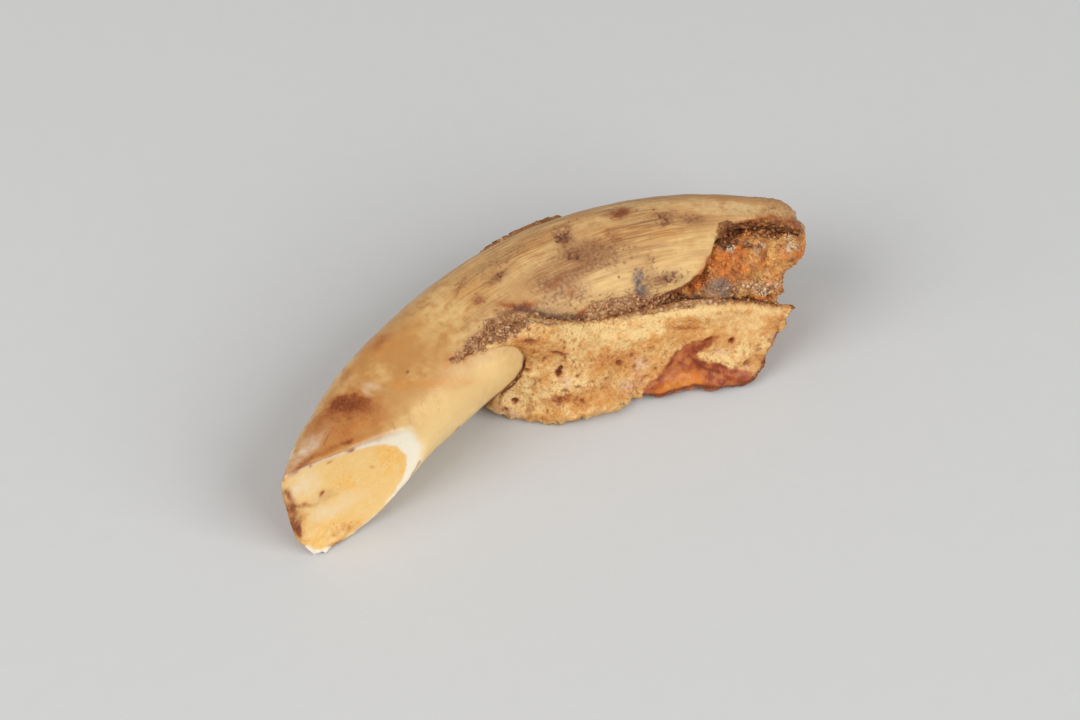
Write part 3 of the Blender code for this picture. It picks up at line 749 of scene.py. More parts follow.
def paint_tooth(piece, sizes):
    """The tooth's material."""
    maker = Maker("Worn tooth")
    mask, paint = maker.mask, maker.paint
    fine, middling, broad = maker.noise(0.35, 4.0), maker.noise(1.2, 5.0), maker.noise(6.0, 3.0)
    lines, hairlines = maker.grained(0.5, 6.0), maker.grained(0.22, 4.0)
    root, grooved, unseen, amber = mask("root"), mask("grooved"), mask("unseen"), mask("amber")
    spread = mask("pale") + (broad - 0.5) * 0.7 + (middling - 0.5) * 0.3
    crown = maker.blend(spread, sizes.tan, sizes.cream)
    striped = spread + (lines - 0.5) * 1.2 * grooved
    maker.colour = maker.blend(root, crown, maker.blend(striped, sizes.root_tan, sizes.root_cream))
    paint(sizes.root_cream, mask("neck") * middling.between(0.3, 0.6) * 0.6)
    smears = amber * 1.1 + unseen * broad.between(0.5, 0.7)
    paint(sizes.amber, smears * middling.between(0.2, 0.7) * 0.75)
    paint(sizes.brown, grooved * lines.between(0.5, 0.34) * 0.38)
    paint(sizes.cream, grooved * hairlines.between(0.5, 0.66) * 0.5)
    paint(sizes.brown, grooved * hairlines.between(0.48, 0.36) * 0.45)
    paint(sizes.grit, grooved * maker.grained(0.35, 4.0).between(0.4, 0.3) * 0.5)
    paint(sizes.brown, root * middling.between(0.56, 0.75) * 0.4)
    paint(sizes.haze, unseen * broad.between(0.55, 0.4) * middling.between(0.45, 0.65) * 0.5)
    # Pale patches, and along the crown's upper left outline a pale strip that is partly a painted sheen
    paint(sizes.cream, mask("cream") * middling.between(0.25, 0.65) * 0.75)

    # The worn face and the enamel
    dentine = mask("dentine")
    paint(sizes.milk, mask("enamel").between(0.0, 0.9) * 0.9)
    paint(sizes.dentine, dentine)
    paint(sizes.cream, dentine * middling.between(0.55, 0.4) * 0.5)
    paint(sizes.honey, dentine * amber * middling.between(0.25, 0.6) * 0.9)
    paint(sizes.amber, dentine * amber * fine.between(0.5, 0.7) * 0.5)
    # The white rim round the worn face; along its upper edge it is partly a painted highlight
    paint(sizes.milk, mask("rim").between(0.1, 0.8) * 0.9)
    paint(sizes.milk, mask("milk") * middling.between(0.2, 0.7) * 0.6)

    # Stains
    rust, edge = mask("rust"), mask("edge")
    paint(sizes.haze, maker.soft("haze", fine, 0.7))
    paint(sizes.rust_glow, maker.soft("rust", middling, 1.3))
    paint(sizes.rust, rust.between(0.35, 1.0) * fine.between(0.25, 0.6, 0.4, 1.0))
    paint(sizes.rust, rust * fine.between(0.55, 0.68) * 0.7)
    paint(sizes.rust_glow, edge.between(0.1, 0.8) * middling.between(0.3, 0.55, 0.3, 1.0))
    paint(sizes.rust, edge.between(0.6, 1.0) * fine.between(0.35, 0.6) * 0.8)
    paint(sizes.brown, mask("end") * fine.between(0.45, 0.65) * 0.5)
    paint(sizes.haze, maker.soft("grit", middling, 0.25))
    paint(sizes.grit, maker.speckled("grit") * 0.65)

    # Soil along the bone's edge and in the open end, with painted shade under the root's rim
    groove = mask("groove")
    crumbs = maker.crumbly(0.4, sizes.grit, sizes.crumb, sizes.pebble, 0.5)
    shadowed = maker.crumbly(0.4, sizes.grit, sizes.brown, sizes.amber)
    stained = maker.crumbly(0.4, sizes.brown, sizes.amber, sizes.cream)
    paint(crumbs, maker.broken("groove", middling, 3.5) * 0.85)
    paint(sizes.pebble, groove * middling.between(0.5, 0.62) * 0.75)
    paint(sizes.soot, groove * fine.between(0.54, 0.64) * 0.25)
    paint(sizes.pebble, mask("pale_soil") * groove * fine.between(0.64, 0.44) * 0.8)
    # Painted shade under the root's rim, over its soil
    paint(shadowed, maker.broken("hollow", middling, 1.5) * 0.9)
    paint(stained, mask("wall").between(0.1, 0.6))

    # The darkest spots, seams, cracks and specks, and the painted shadow in the groove under the root
    paint(sizes.slate, maker.soft("slate", fine, 0.8))
    paint(sizes.soot, maker.speckled("slate", 0.4) * 0.6)
    paint(sizes.grit, maker.soft("soot", middling, 0.8))
    paint(sizes.soot, maker.speckled("soot") * 0.9)
    paint(sizes.rust, mask("seam").between(0.1, 0.8) * 0.9)
    # Cracks, and painted shadow in the groove under the root
    paint(sizes.soot, mask("dark_lines").between(0.1, 0.9) * fine.between(0.3, 0.6, 0.5, 0.85))
    specks = maker.dots(2.2, 0.09) * broad.between(0.45, 0.6) + maker.dots(3.7, 0.06)
    paint(sizes.soot, specks * (root * 0.6 + 0.15) * (1 - dentine))

    soiled = groove + mask("hollow")
    relief = lines * grooved + fine * 0.5 + hairlines * root * 0.4
    relief = relief - maker.cells(0.45, maker.warped) * soiled * 4.0
    rough = rust * 0.2 + soiled * 0.3 + root.between(0.0, 1.0, 0.36, 0.5) + (fine - 0.5) * 0.2
    fixed = {
        "Specular IOR Level": 0.35,
        "Subsurface Weight": 0.08,
        "Subsurface Radius": (1.0, 0.55, 0.3),
        "Subsurface Scale": 1.2 * MM,
    }
    maker.finish(piece, rough, relief, depth=0.12 * MM, fixed=fixed)


# The glossy red-orange patch on the bone, and its brighter middle, in the photo's pixels
RESIN = [
    (643, 386), (650, 381), (662, 374), (668, 365), (676, 351), (688, 346), (701, 340), (712, 336),
    (717, 339), (704, 347), (699, 351), (696, 356), (702, 361), (716, 363), (728, 370), (743, 372),
    (746, 379), (735, 385), (714, 386), (696, 391), (667, 397), (644, 396),
]
EMBER = [
    (651, 393), (662, 386), (673, 379), (682, 371), (690, 370), (698, 376), (708, 382), (703, 387),
    (664, 395),
]

# The bone's stains and lines, as the tooth's above
BONE_STAINS = {
    "rust": (
        (530, 341, 11, 3, 0, 0.9), (558, 353, 9, 2, -8, 0.9), (566, 357, 3, 4, 0, 0.8),
        (560, 362, 4, 2, 30, 0.5), (560, 373, 4, 7, 10, 1.2), (515, 401, 4, 3, -20, 1.2),
        (505, 406, 4, 2, 0, 0.8), (560, 400, 14, 4, 4, 0.8), (559, 405, 3, 4, 0, 0.8),
        (582, 402, 4, 4, 0, 0.9), (619, 363, 4, 3, 0, 0.9), (632, 355, 3, 3, 0, 0.8),
        (612, 358, 20, 6, 12, 0.45), (684, 328, 17, 1.5, 0, 0.8), (708, 343, 10, 4, 24, 1.0),
        (700, 349, 6, 4, 40, 0.8), (731, 340, 3, 3, 0, 1.2), (762, 361, 7, 4, 50, 0.7),
        (778, 326, 3, 8, -20, 0.6), (757, 374, 8, 4, 40, 0.6), (730, 377, 14, 5, 0, 0.6),
        (470, 353, 9, 2, 32, 0.9), (455, 358, 6, 2, 6, 0.9), (636, 383, 8, 5, 20, 0.45),
        (598, 384, 16, 6, 20, 0.35), (700, 398, 40, 2, 8, 0.7), (565, 343, 2, 2, 0, 0.8),
        (529, 329, 2, 2, 0, 0.8), (718, 312, 2, 2, 0, 0.7), (736, 330, 2, 2, 0, 0.6),
        (708, 320, 2, 2, 0, 0.6),
    ),
    "amber": (
        (522, 362, 10, 14, 0, 0.7), (752, 326, 32, 18, -10, 0.2), (712, 330, 30, 14, 0, 0.15),
        (524, 350, 14, 8, -10, 1.0), (545, 350, 26, 12, -20, 0.5), (580, 400, 26, 8, 6, 0.7),
        (546, 380, 8, 8, 0, 0.6), (740, 309, 14, 4, 0, 0.7), (771, 330, 7, 7, 0, 0.7),
        (616, 364, 26, 11, 14, 0.9), (606, 394, 26, 9, 16, 0.6), (654, 342, 12, 6, 20, 0.8),
        (660, 364, 22, 10, 40, 0.5), (686, 324, 18, 6, 0, 0.9), (682, 336, 14, 8, 0, 0.6),
        (712, 342, 18, 10, 10, 0.6), (731, 343, 6, 6, 0, 0.8), (752, 366, 20, 8, 40, 0.6),
        (776, 318, 16, 8, -30, 0.5), (545, 418, 20, 3, 0, 0.8),
    ),
    "calm": (
        (736, 322, 56, 24, -8, 1.0), (618, 338, 44, 9, 4, 0.7), (670, 336, 24, 10, 10, 0.6),
    ),
    "rose": (
        (640, 366, 8, 6, 0, 0.8), (630, 384, 12, 6, 20, 0.8), (776, 342, 6, 6, 0, 1.0),
        (566, 384, 4, 6, 0, 0.8), (478, 346, 7, 3, 20, 0.7), (722, 350, 12, 5, 20, 0.5),
        (508, 411, 16, 3, -20, 0.7), (747, 370, 7, 6, 0, 0.6),
    ),
}
BONE_LINES = {
    "edge": (
        ([(644, 395), (662, 395), (680, 389), (694, 386), (712, 388), (740, 386), (753, 380)], 1.8, 1.0),
        ([(688, 355), (696, 362), (706, 369), (719, 373)], 2.2, 0.7),
        ([(753, 380), (762, 369), (767, 357), (773, 346), (778, 334)], 3.0, 0.8),
        ([(786, 326), (790, 314), (795, 307)], 2.0, 0.6),
    ),
    "dark_lines": (
        ([(524, 357), (524, 366), (520, 377), (512, 386), (499, 394), (485, 403)], 1.3, 0.9),
    ),
}

# The bone's lower edge, which swells out, and the ledge along its upper side
BONE_LOWER_EDGE = (
    ([(490, 404), (506, 411), (530, 414), (556, 416), (590, 411), (616, 402), (640, 394)], 7.0, 1.0),
    ([(640, 392), (662, 389), (690, 385), (718, 382), (740, 380)], 7.0, 1.0),
)
LEDGE = (
    ([(560, 326), (590, 326), (640, 318), (680, 312), (709, 308), (745, 308), (786, 312)], 3.6, 1.0),
    ([(570, 334), (610, 332), (650, 328)], 8.0, 0.7),
)

# The bone's left edge at the tooth's neck and how far round it the bone leans on the tooth, in the photo's
# pixels, and between which places along the tooth that ends, in millimetres
NECK_EDGE = [
    (463, 358), (480, 354), (497, 349), (512, 349), (522, 354), (526, 362), (524, 374), (514, 386),
    (500, 395),
]
NECK_EDGE_REACH = 7.0
NECK_EDGE_END = (56, 52)

# The spike at the bone's upper right corner, in the photo's pixels: where it fades in from the left and from
# below, and how far down its tip is
SPIKE_SIDE = (778, 794)
SPIKE_FOOT = (324, 314)
SPIKE_TIP = 310

# Where the bone's lower right corner is in the photo, and how far round it the corner is drawn out
BONE_CORNER = (755, 376)
BONE_CORNER_SPREAD = (15, 13)

# Beyond the root's crest, by the angle round the tooth in degrees: where the bone is thinner, up to which
# places along the tooth in millimetres, and where it is darker
THIN_SIDE = (100, 80)
THIN_SIDE_END = (58, 52)
DARK_SIDES = ((330, 350), (70, 40))


def bone_forms(surface):
    """How bare the bone is, and its masks that its relief needs as well as its material."""
    resin = surface.area(RESIN, soft=4.0, ragged=3.5)
    ledge = surface.lines(LEDGE)
    bare = 1 - np.maximum(resin * 0.85, ledge * 0.5)
    pits = smooth(surface.grain(0.75, 6), 0.25, 0.55) * smooth(surface.grain(3.5, 3), -0.3, 0.3)
    pits = np.maximum(pits, smooth(surface.grain(0.5, 7), 0.35, 0.6) * 0.6)
    pits *= 1 - 0.7 * surface.spots(BONE_STAINS["calm"])
    forms = {
        "resin": resin,
        "ledge": ledge,
        "pits": pits * bare,
        "inner": smooth(-surface.outwardness(), 0.1, 0.5),
        "crust": surface.area(CRUST, soft=4.0, ragged=6.0),
        "rust": surface.spots(BONE_STAINS["rust"]),
    }
    return bare, forms


def bone_relief(surface, bare, forms, sizes):
    """How far each point of the bone stands out."""
    lumps = surface.grain(1.8) * 0.4 + surface.grain(0.9, 1) * 0.35 + surface.grain(0.45, 2) * 0.45
    pores = forms["pits"] * 0.6 + smooth(forms["rust"], 0.75, 1.0)
    jags = smooth(np.abs(surface.endwardness()), 0.5, 0.9) * (0.4 + surface.grain(1.4, 9))
    swell = surface.lines(BONE_LOWER_EDGE) * (1 + 0.5 * surface.grain(1.2, 12))
    thin = smooth(surface.angle, *THIN_SIDE) * surface.stretch(*THIN_SIDE_END)
    relief = lumps * bare * sizes.lump_depth - pores * sizes.pore_depth - jags * sizes.jag_depth
    relief += forms["crust"] * (0.6 + surface.grain(0.45, 4)) * sizes.crust_depth
    relief += swell * sizes.lower_swell - thin * sizes.far_trim
    return relief * (1 - forms["inner"]) + forms["inner"] * sizes.closing


def build_bone(sizes):
    """Makes the piece of jaw bone, as the tooth."""
    piece = fine_copy("jaw_bone", "alveolar_bone", ROUND_ALL_OVER, sizes.mesh_size)
    surface = Surface(piece)
    right, up = photo_axes()[1:]
    across, down = surface.pixels.T
    spike = smooth(across, *SPIKE_SIDE) * smooth(down, *SPIKE_FOOT) * (down - SPIKE_TIP) * PIXEL
    surface.shift(np.outer(spike * sizes.spike_point, up))
    bare, forms = bone_forms(surface)
    surface.raise_by(bone_relief(surface, bare, forms, sizes))
    leaning = surface.nearness(NECK_EDGE, NECK_EDGE_REACH) * surface.stretch(*NECK_EDGE_END)
    surface.shift(-surface.outward() * leaning[:, None] * sizes.edge_shift)
    away = (surface.pixels - BONE_CORNER) / BONE_CORNER_SPREAD
    drawn_out = np.exp(-np.sum(away**2, axis=1))
    surface.shift(np.outer(drawn_out * sizes.corner_reach, right))
    masks = {
        **{kind: surface.spots(rows) for kind, rows in BONE_STAINS.items()},
        **{kind: surface.lines(rows) for kind, rows in BONE_LINES.items()},
        **forms,
        "ember": surface.area(EMBER, soft=5.0, ragged=3.0),
        "groove": surface.area(GROOVE, soft=2.5, ragged=2.5),
        "far": sum(smooth(surface.angle, *side) for side in DARK_SIDES),
        "unseen": 1 - surface.seen,
    }
    surface.keep(piece, masks)
    paint_bone(piece, sizes)
    hand_over(piece, "jaw_bone")


def paint_bone(piece, sizes):
    """The bone's material."""
    maker = Maker("Spongy bone")
    mask, paint = maker.mask, maker.paint
    fine, grainy = maker.noise(0.3, 4.0), maker.noise(0.6, 6.0, seed=2.0)
    middling, broad = maker.noise(1.3, 5.0), maker.noise(4.5, 4.0)
    blotchy, patchy = maker.noise(0.45, 4.0, seed=4.0), maker.noise(0.7, 5.0, seed=6.0)
    mottling = (broad - 0.5) * 2.5 + (middling - 0.5) * 2.5 + (grainy - 0.5) * 2.5
    maker.colour = maker.blend(mottling + 0.45, sizes.cream, sizes.tan)
    smears = mask("amber") + mask("unseen") * broad.between(0.45, 0.6)
    paint(sizes.tan, smears.between(0.0, 0.6) * 0.8)
    paint(sizes.amber, smears * grainy.between(0.35, 0.55) * 0.9)
    paint(sizes.rose, mask("rose") * grainy.between(0.35, 0.55) * 0.8)
    paint(sizes.cream, mask("ledge") * middling.between(0.65, 0.45) * 0.8)
    paint(sizes.cream, fine.between(0.42, 0.3) * 0.5)

    # Pits and grains
    rough_part = 1 - mask("calm") * 0.8
    # The pores are darkened towards their depths: partly stain, partly painted shade
    paint(sizes.rust_glow, mask("pits").between(0.1, 0.6) * 0.45)
    paint(sizes.brown, mask("pits").between(0.5, 1.0) * 0.7)
    paint(sizes.amber, rough_part * fine.between(0.53, 0.64) * 0.55)
    paint(sizes.amber, maker.dots(1.5, 0.22) * broad.between(0.4, 0.55) * 0.7)
    paint(sizes.rust, maker.dots(1.5, 0.1) * broad.between(0.4, 0.55) * 0.9)
    paint(sizes.rust_glow, rough_part * blotchy.between(0.58, 0.68) * 0.7)
    paint(sizes.brown, rough_part * patchy.between(0.6, 0.68) * 0.6)

    # Stains and soil
    rust = mask("rust")
    soiled = mask("crust") + mask("groove")
    crumbs = maker.crumbly(0.45, sizes.brown, sizes.crumb, sizes.rose)
    paint(sizes.rust_glow, maker.soft("rust", middling, 0.9))
    paint(sizes.rust, rust.between(0.45, 1.1) * fine.between(0.3, 0.6, 0.5, 1.0))
    paint(sizes.rust, rust * fine.between(0.55, 0.65) * 0.7)
    paint(crumbs, maker.broken("crust", middling, 2.5) * 0.9)
    paint(crumbs, maker.broken("groove", middling, 2.5) * 0.7)
    paint(sizes.soot, soiled * middling.between(0.54, 0.66) * 0.4)
    paint(sizes.brown, mask("far") * middling.between(0.3, 0.5) * 0.8)

    # The glossy patch
    resin, ember = mask("resin"), mask("ember")
    glazed = resin.between(0.1, 0.7)
    paint(maker.blend(middling.between(0.35, 0.6), sizes.rust_glow, sizes.resin), glazed * 0.95)
    paint(sizes.rust, glazed * middling.between(0.52, 0.66) * 0.6)
    paint(sizes.ember, ember * grainy.between(0.25, 0.5))
    paint(sizes.amber, ember.between(0.6, 1.0) * middling.between(0.4, 0.55) * 0.5)

    # The edges
    paint(sizes.rust, mask("edge").between(0.1, 0.8) * fine.between(0.3, 0.5, 0.5, 1.0) * 0.9)
    paint(sizes.rust_glow, mask("inner") * 0.5)
    paint(sizes.rust, mask("dark_lines").between(0.1, 0.7) * 0.9)

    relief = (fine + grainy) * (1 - resin * 0.7) + middling * 1.5 - maker.cells(0.45, maker.warped) * soiled
    rough = resin.between(0.0, 1.0, 0.68, 0.25)
    maker.finish(piece, rough, relief, depth=0.23 * MM, fixed={"Specular IOR Level": 0.3})


# The filling's parts in the photo, as the stains above, with painted shade among them
FILL_STAINS = {
    # The shade rows are painted shade, under the root's rim and where the filling meets the root's lower lip
    "shade": (
        (727, 236, 10, 15, -20, 1.0), (738, 226, 16, 7, 10, 1.0), (766, 229, 30, 8, 2, 1.0),
        (790, 228, 12, 8, -20, 0.7), (748, 245, 8, 5, 0, 0.8), (731, 297, 6, 8, 0, 1.0),
        (746, 301, 10, 4, 0, 0.5), (700, 303, 26, 4, 10, 0.8), (668, 300, 18, 6, 16, 0.8),
        (740, 268, 4, 6, 0, 0.6), (790, 262, 12, 2, 10, 0.5),
    ),
    "glass": (
        (721, 286, 14, 9, 10, 1.0), (696, 296, 6, 4, 0, 1.0),
    ),
    "milk": (
        (730, 249, 4, 4, 40, 1.0), (760, 248, 5, 6, 0, 0.9), (788, 236, 5, 4, -30, 1.0),
        (788, 248, 12, 5, 0, 0.7), (762, 291, 9, 4, 14, 1.1), (774, 288, 3, 5, 0, 0.8),
        (720, 303, 9, 4, 0, 1.1), (680, 300, 6, 4, 0, 0.5), (752, 284, 14, 4, 0, 0.6),
        (768, 276, 8, 8, 0, 0.4),
    ),
    "tan": (
        (784, 262, 20, 32, 0, 0.6), (764, 286, 26, 10, 0, 0.9), (740, 290, 24, 8, 0, 0.8),
        (766, 290, 12, 5, 8, 1.0), (756, 262, 10, 16, 0, 0.4), (716, 298, 20, 5, 0, 0.5),
    ),
    "ember": (
        (747, 235, 5, 3, 0, 1.0), (738, 249, 6, 5, 30, 1.0), (716, 263, 14, 7, 30, 0.7),
        (702, 282, 9, 6, 40, 1.0), (740, 270, 5, 5, 0, 0.8), (764, 297, 9, 2, 8, 1.1),
        (800, 256, 5, 6, 0, 0.7),
    ),
}

# How far from the tooth's centreline the filling lies open
OPEN_RADIUS = (3.5 * MM, 5 * MM)


def build_fill(sizes):
    """Makes the filling of the root's open end, as the tooth."""
    piece = fine_copy("socket_fill", "crumbly_fill", ROUND_ALL_OVER, sizes.mesh_size)
    surface = Surface(piece)
    surface.break_corners(sizes.corner_loss)
    lumps = 0.9 * surface.grain(1.5) + 0.9 * (0.45 - cells(surface.points, 1.2 * MM))
    grit = 0.45 - cells(surface.points, 0.45 * MM, 1) + 0.5 * surface.grain(0.4, 2)
    showing = smooth(surface.outwardness(), 0.2, 0.7) * smooth(surface.radius, *OPEN_RADIUS)
    glass = surface.spots(FILL_STAINS["glass"])
    crumbs = (lumps * sizes.crumb_depth + grit * sizes.grit_depth) * (1 - 0.7 * glass)
    surface.raise_by(crumbs + sizes.swell * showing)
    masks = {
        **{kind: surface.spots(rows) for kind, rows in FILL_STAINS.items()},
        "glass": glass,
        "low": smooth(lumps, 0.1, -0.5),
        "showing": showing * surface.seen,
    }
    surface.keep(piece, masks)
    paint_fill(piece, sizes)
    hand_over(piece, "socket_fill")


def paint_fill(piece, sizes):
    """The filling's material."""
    maker = Maker("Crumbly filling")
    mask, paint = maker.mask, maker.paint
    fine, middling, broad = maker.noise(0.3, 4.0), maker.noise(0.8, 4.0), maker.noise(2.5, 3.0)
    big = maker.crumbly(1.3, sizes.brown, sizes.orange, sizes.tan, 0.4)
    small = maker.crumbly(0.45, sizes.brown, sizes.orange, sizes.tan, 0.3)
    dark = maker.crumbly(0.4, sizes.soot, sizes.brown, sizes.orange)
    pebbles = maker.crumbly(0.35, sizes.brown, sizes.milk, sizes.milk)
    maker.colour = maker.blend(middling.between(0.4, 0.6), big, small)
    tanned = mask("tan") + broad.between(0.5, 0.62) * 0.5
    glowing = mask("ember") + broad.between(0.52, 0.4) * 0.4
    paint(sizes.orange, fine.between(0.45, 0.55) * 0.6)
    paint(sizes.tan, tanned * fine.between(0.7, 0.45) * 0.85)
    paint(sizes.ember, glowing * fine.between(0.35, 0.55))
    # Darker in the low places between the lumps: partly darker crumbs, partly painted shade
    paint(sizes.brown, mask("low") * 0.35)
    paint(sizes.brown, fine.between(0.58, 0.68) * 0.4)
    paint(sizes.milk, fine.between(0.38, 0.3) * 0.4)
    # Painted shade: dark crumbs under the root's rim and along the filling's lower edge
    paint(dark, maker.broken("shade", middling, 1.5) * 0.9)
    paint(pebbles, maker.broken("milk", fine, 2.5) * 0.9)
    paint(sizes.glass, maker.soft("glass", fine, 1.1))
    paint(sizes.soot, mask("glass") * middling.between(0.52, 0.64) * 0.5)
    crumbs = maker.cells(0.8, maker.warped) * 0.8 + maker.cells(0.4, maker.warped) * 0.6
    rough = mask("glass").between(0.0, 1.0, 0.65, 0.35)
    relief = middling * 1.5 + fine - crumbs
    maker.finish(piece, rough, relief, depth=0.28 * MM, fixed={"Specular IOR Level": 0.35})


# Where loose crumbs lie: the piece that carries them, its mask, and their number, shade and warmth
CRUMB_PLACES = (
    ("incisor", "groove", 460, 0.55, 0.0),
    ("alveolar_bone", "groove", 200, 0.6, 0.0),
    ("alveolar_bone", "crust", 140, 0.6, 0.0),
    # Crumbs under the root's rim are darker, as painted shade
    ("incisor", "hollow", 40, 0.25, 0.1),
    ("incisor", "wall", 90, 0.65, 0.5),
    # Crumbs in the filling's shade are darker, as painted shade
    ("crumbly_fill", "shade", 110, 0.35, 0.3),
    ("crumbly_fill", "milk", 90, 0.9, 0.0),
    ("crumbly_fill", "ember", 60, 0.6, 1.0),
    ("crumbly_fill", "tan", 110, 0.7, 0.3),
    ("crumbly_fill", "showing", 160, 0.6, 0.8),
)

# How unlike one another the crumbs are: how far each is stretched and skewed, how deep its dents are in
# shares of its radius, and how far its shade strays
CRUMB_STRETCH = (0.6, 1.3)
CRUMB_SKEW = 0.5
CRUMB_DENTS = 0.25
CRUMB_SHADES = 0.25


def crumb_shape():
    """The points and the triangles of one round crumb of radius 1."""
    deselect()
    bpy.ops.mesh.primitive_ico_sphere_add(subdivisions=2, radius=1.0)
    ball = bpy.context.object
    corners = np.array([point.co[:] for point in ball.data.vertices])
    faces = np.array([face.vertices[:] for face in ball.data.polygons])
    bpy.data.objects.remove(ball)
    return corners, faces


def build_crumbs(sizes):
    """Scatters the loose crumbs, each with a size, a shape and a shade of its own, as one piece."""
    chance = np.random.default_rng(CRUMB_SEED)
    corners, faces = crumb_shape()
    points, triangles, shades, warmths = [], [], [], []
    for name, mask, number, shade, warmth in CRUMB_PLACES:
        carrier = bpy.data.objects[name].data
        share = np.array([spot.value for spot in carrier.attributes[mask].data])
        chosen = chance.choice(len(share), number, replace=False, p=share**2 / np.sum(share**2))
        for index in chosen:
            carried = carrier.vertices[int(index)]
            radius = sizes.smallest + (sizes.largest - sizes.smallest) * chance.random() ** 3
            stretch = chance.uniform(*CRUMB_STRETCH, (3, 3))
            stretch = stretch * np.where(np.eye(3), 1.0, chance.uniform(-CRUMB_SKEW, CRUMB_SKEW, (3, 3)))
            uneven = 1 + CRUMB_DENTS * grain(corners + 9 * chance.random(3), 0.9)[:, None]
            middle = np.array(carried.co) + np.array(carried.normal) * radius * sizes.lift
            triangles.append(faces + len(corners) * len(points))
            points.append(middle + corners * uneven @ stretch * radius)
            shades.append(np.full(len(corners), shade + chance.uniform(-CRUMB_SHADES, CRUMB_SHADES)))
            warmths.append(np.full(len(corners), warmth * chance.random() ** 0.5))
    mesh = bpy.data.meshes.new("loose_crumbs")
    mesh.from_pydata(np.concatenate(points).tolist(), [], np.concatenate(triangles).tolist())
    piece = add_piece("loose_crumbs", mesh)
    bpy.ops.object.shade_smooth()
    keep_mask(mesh, "shade", np.concatenate(shades))
    keep_mask(mesh, "warmth", np.concatenate(warmths))
    paint_crumbs(piece, sizes)
    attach(piece, "root")


def paint_crumbs(piece, sizes):
    """The loose crumbs' material."""
    maker = Maker("Loose crumbs")
    shade, fine = maker.mask("shade"), maker.noise(0.3, 3.0)
    maker.colour = maker.blend(shade.between(0.1, 0.45), sizes.dark, sizes.brown)
    maker.paint(sizes.tan, shade.between(0.4, 0.7))
    maker.paint(sizes.pale, shade.between(0.75, 0.95))
    maker.paint(sizes.orange, maker.mask("warmth") * 0.9)
    maker.paint(sizes.dark, fine.between(0.55, 0.7) * 0.5)
    maker.finish(piece, 0.8, fine, depth=0.1 * MM, fixed={"Specular IOR Level": 0.15})


def add_softbox(name, azimuth, elevation, power):
    """A square soft light that faces the tooth."""
    deselect()
    place = bearing(azimuth, elevation) * LIGHT_DISTANCE
    bpy.ops.object.light_add(type="AREA", location=place, rotation=facing(azimuth, elevation))
    light = bpy.context.object
    light.name = name
    light.data.size = LIGHT_WIDTH
    light.data.energy = power


def add_camera():
    """The photo's camera."""
    deselect()
    place = PHOTO_AIM + bearing(PHOTO_AZIMUTH, PHOTO_ELEVATION) * PHOTO_DISTANCE
    bpy.ops.object.camera_add(location=place, rotation=facing(PHOTO_AZIMUTH, PHOTO_ELEVATION))
    camera = bpy.context.object
    camera.name = "Photo camera"
    camera.data.lens = PHOTO_LENS
    camera.data.sensor_width = PHOTO_SENSOR
    camera.data.clip_start = 0.01
    bpy.context.scene.camera = camera


def build_stage(sizes):
    """Makes the floor, the lights and the camera."""
    deselect()
    bpy.ops.mesh.primitive_plane_add(size=sizes.floor_size)
    floor = bpy.context.object
    floor.name = "floor"
    maker = Maker("Pale paper")
    maker.colour = maker.blend(maker.noise(3.0), sizes.floor, [c * 0.97 for c in sizes.floor])
    maker.finish(floor, 0.9, maker.noise(0.6), depth=0.02 * MM, fixed={"Specular IOR Level": 0.2})
    add_softbox("Left light", *LEFT_LIGHT, sizes.left_power)
    add_softbox("Right light", *RIGHT_LIGHT, sizes.right_power)
    world = bpy.data.worlds.new("Even light")
    world.use_nodes = True
    background = world.node_tree.nodes["Background"]
    background.inputs["Strength"].default_value = sizes.sky
    background.inputs["Color"].default_value = (1.0, 1.0, 1.0, 1.0)
    bpy.context.scene.world = world
    bpy.context.scene.view_settings.view_transform = "Standard"
    add_camera()


def colour_property(name, description, default):
    """A colour that a user can change."""
    return bpy.props.FloatVectorProperty(
        name=name, description=description, subtype="COLOR", size=3, min=0.0, max=1.0, default=default
    )


def number_property(name, description, default, **kind):
    """A number that a user can change."""
    return bpy.props.FloatProperty(name=name, description=description, default=default, **kind)


def length_property(name, description, default):
    """A length that a user can change."""
    return number_property(
        name, description, default, min=0.0, unit="LENGTH", subtype="DISTANCE", precision=5
    )


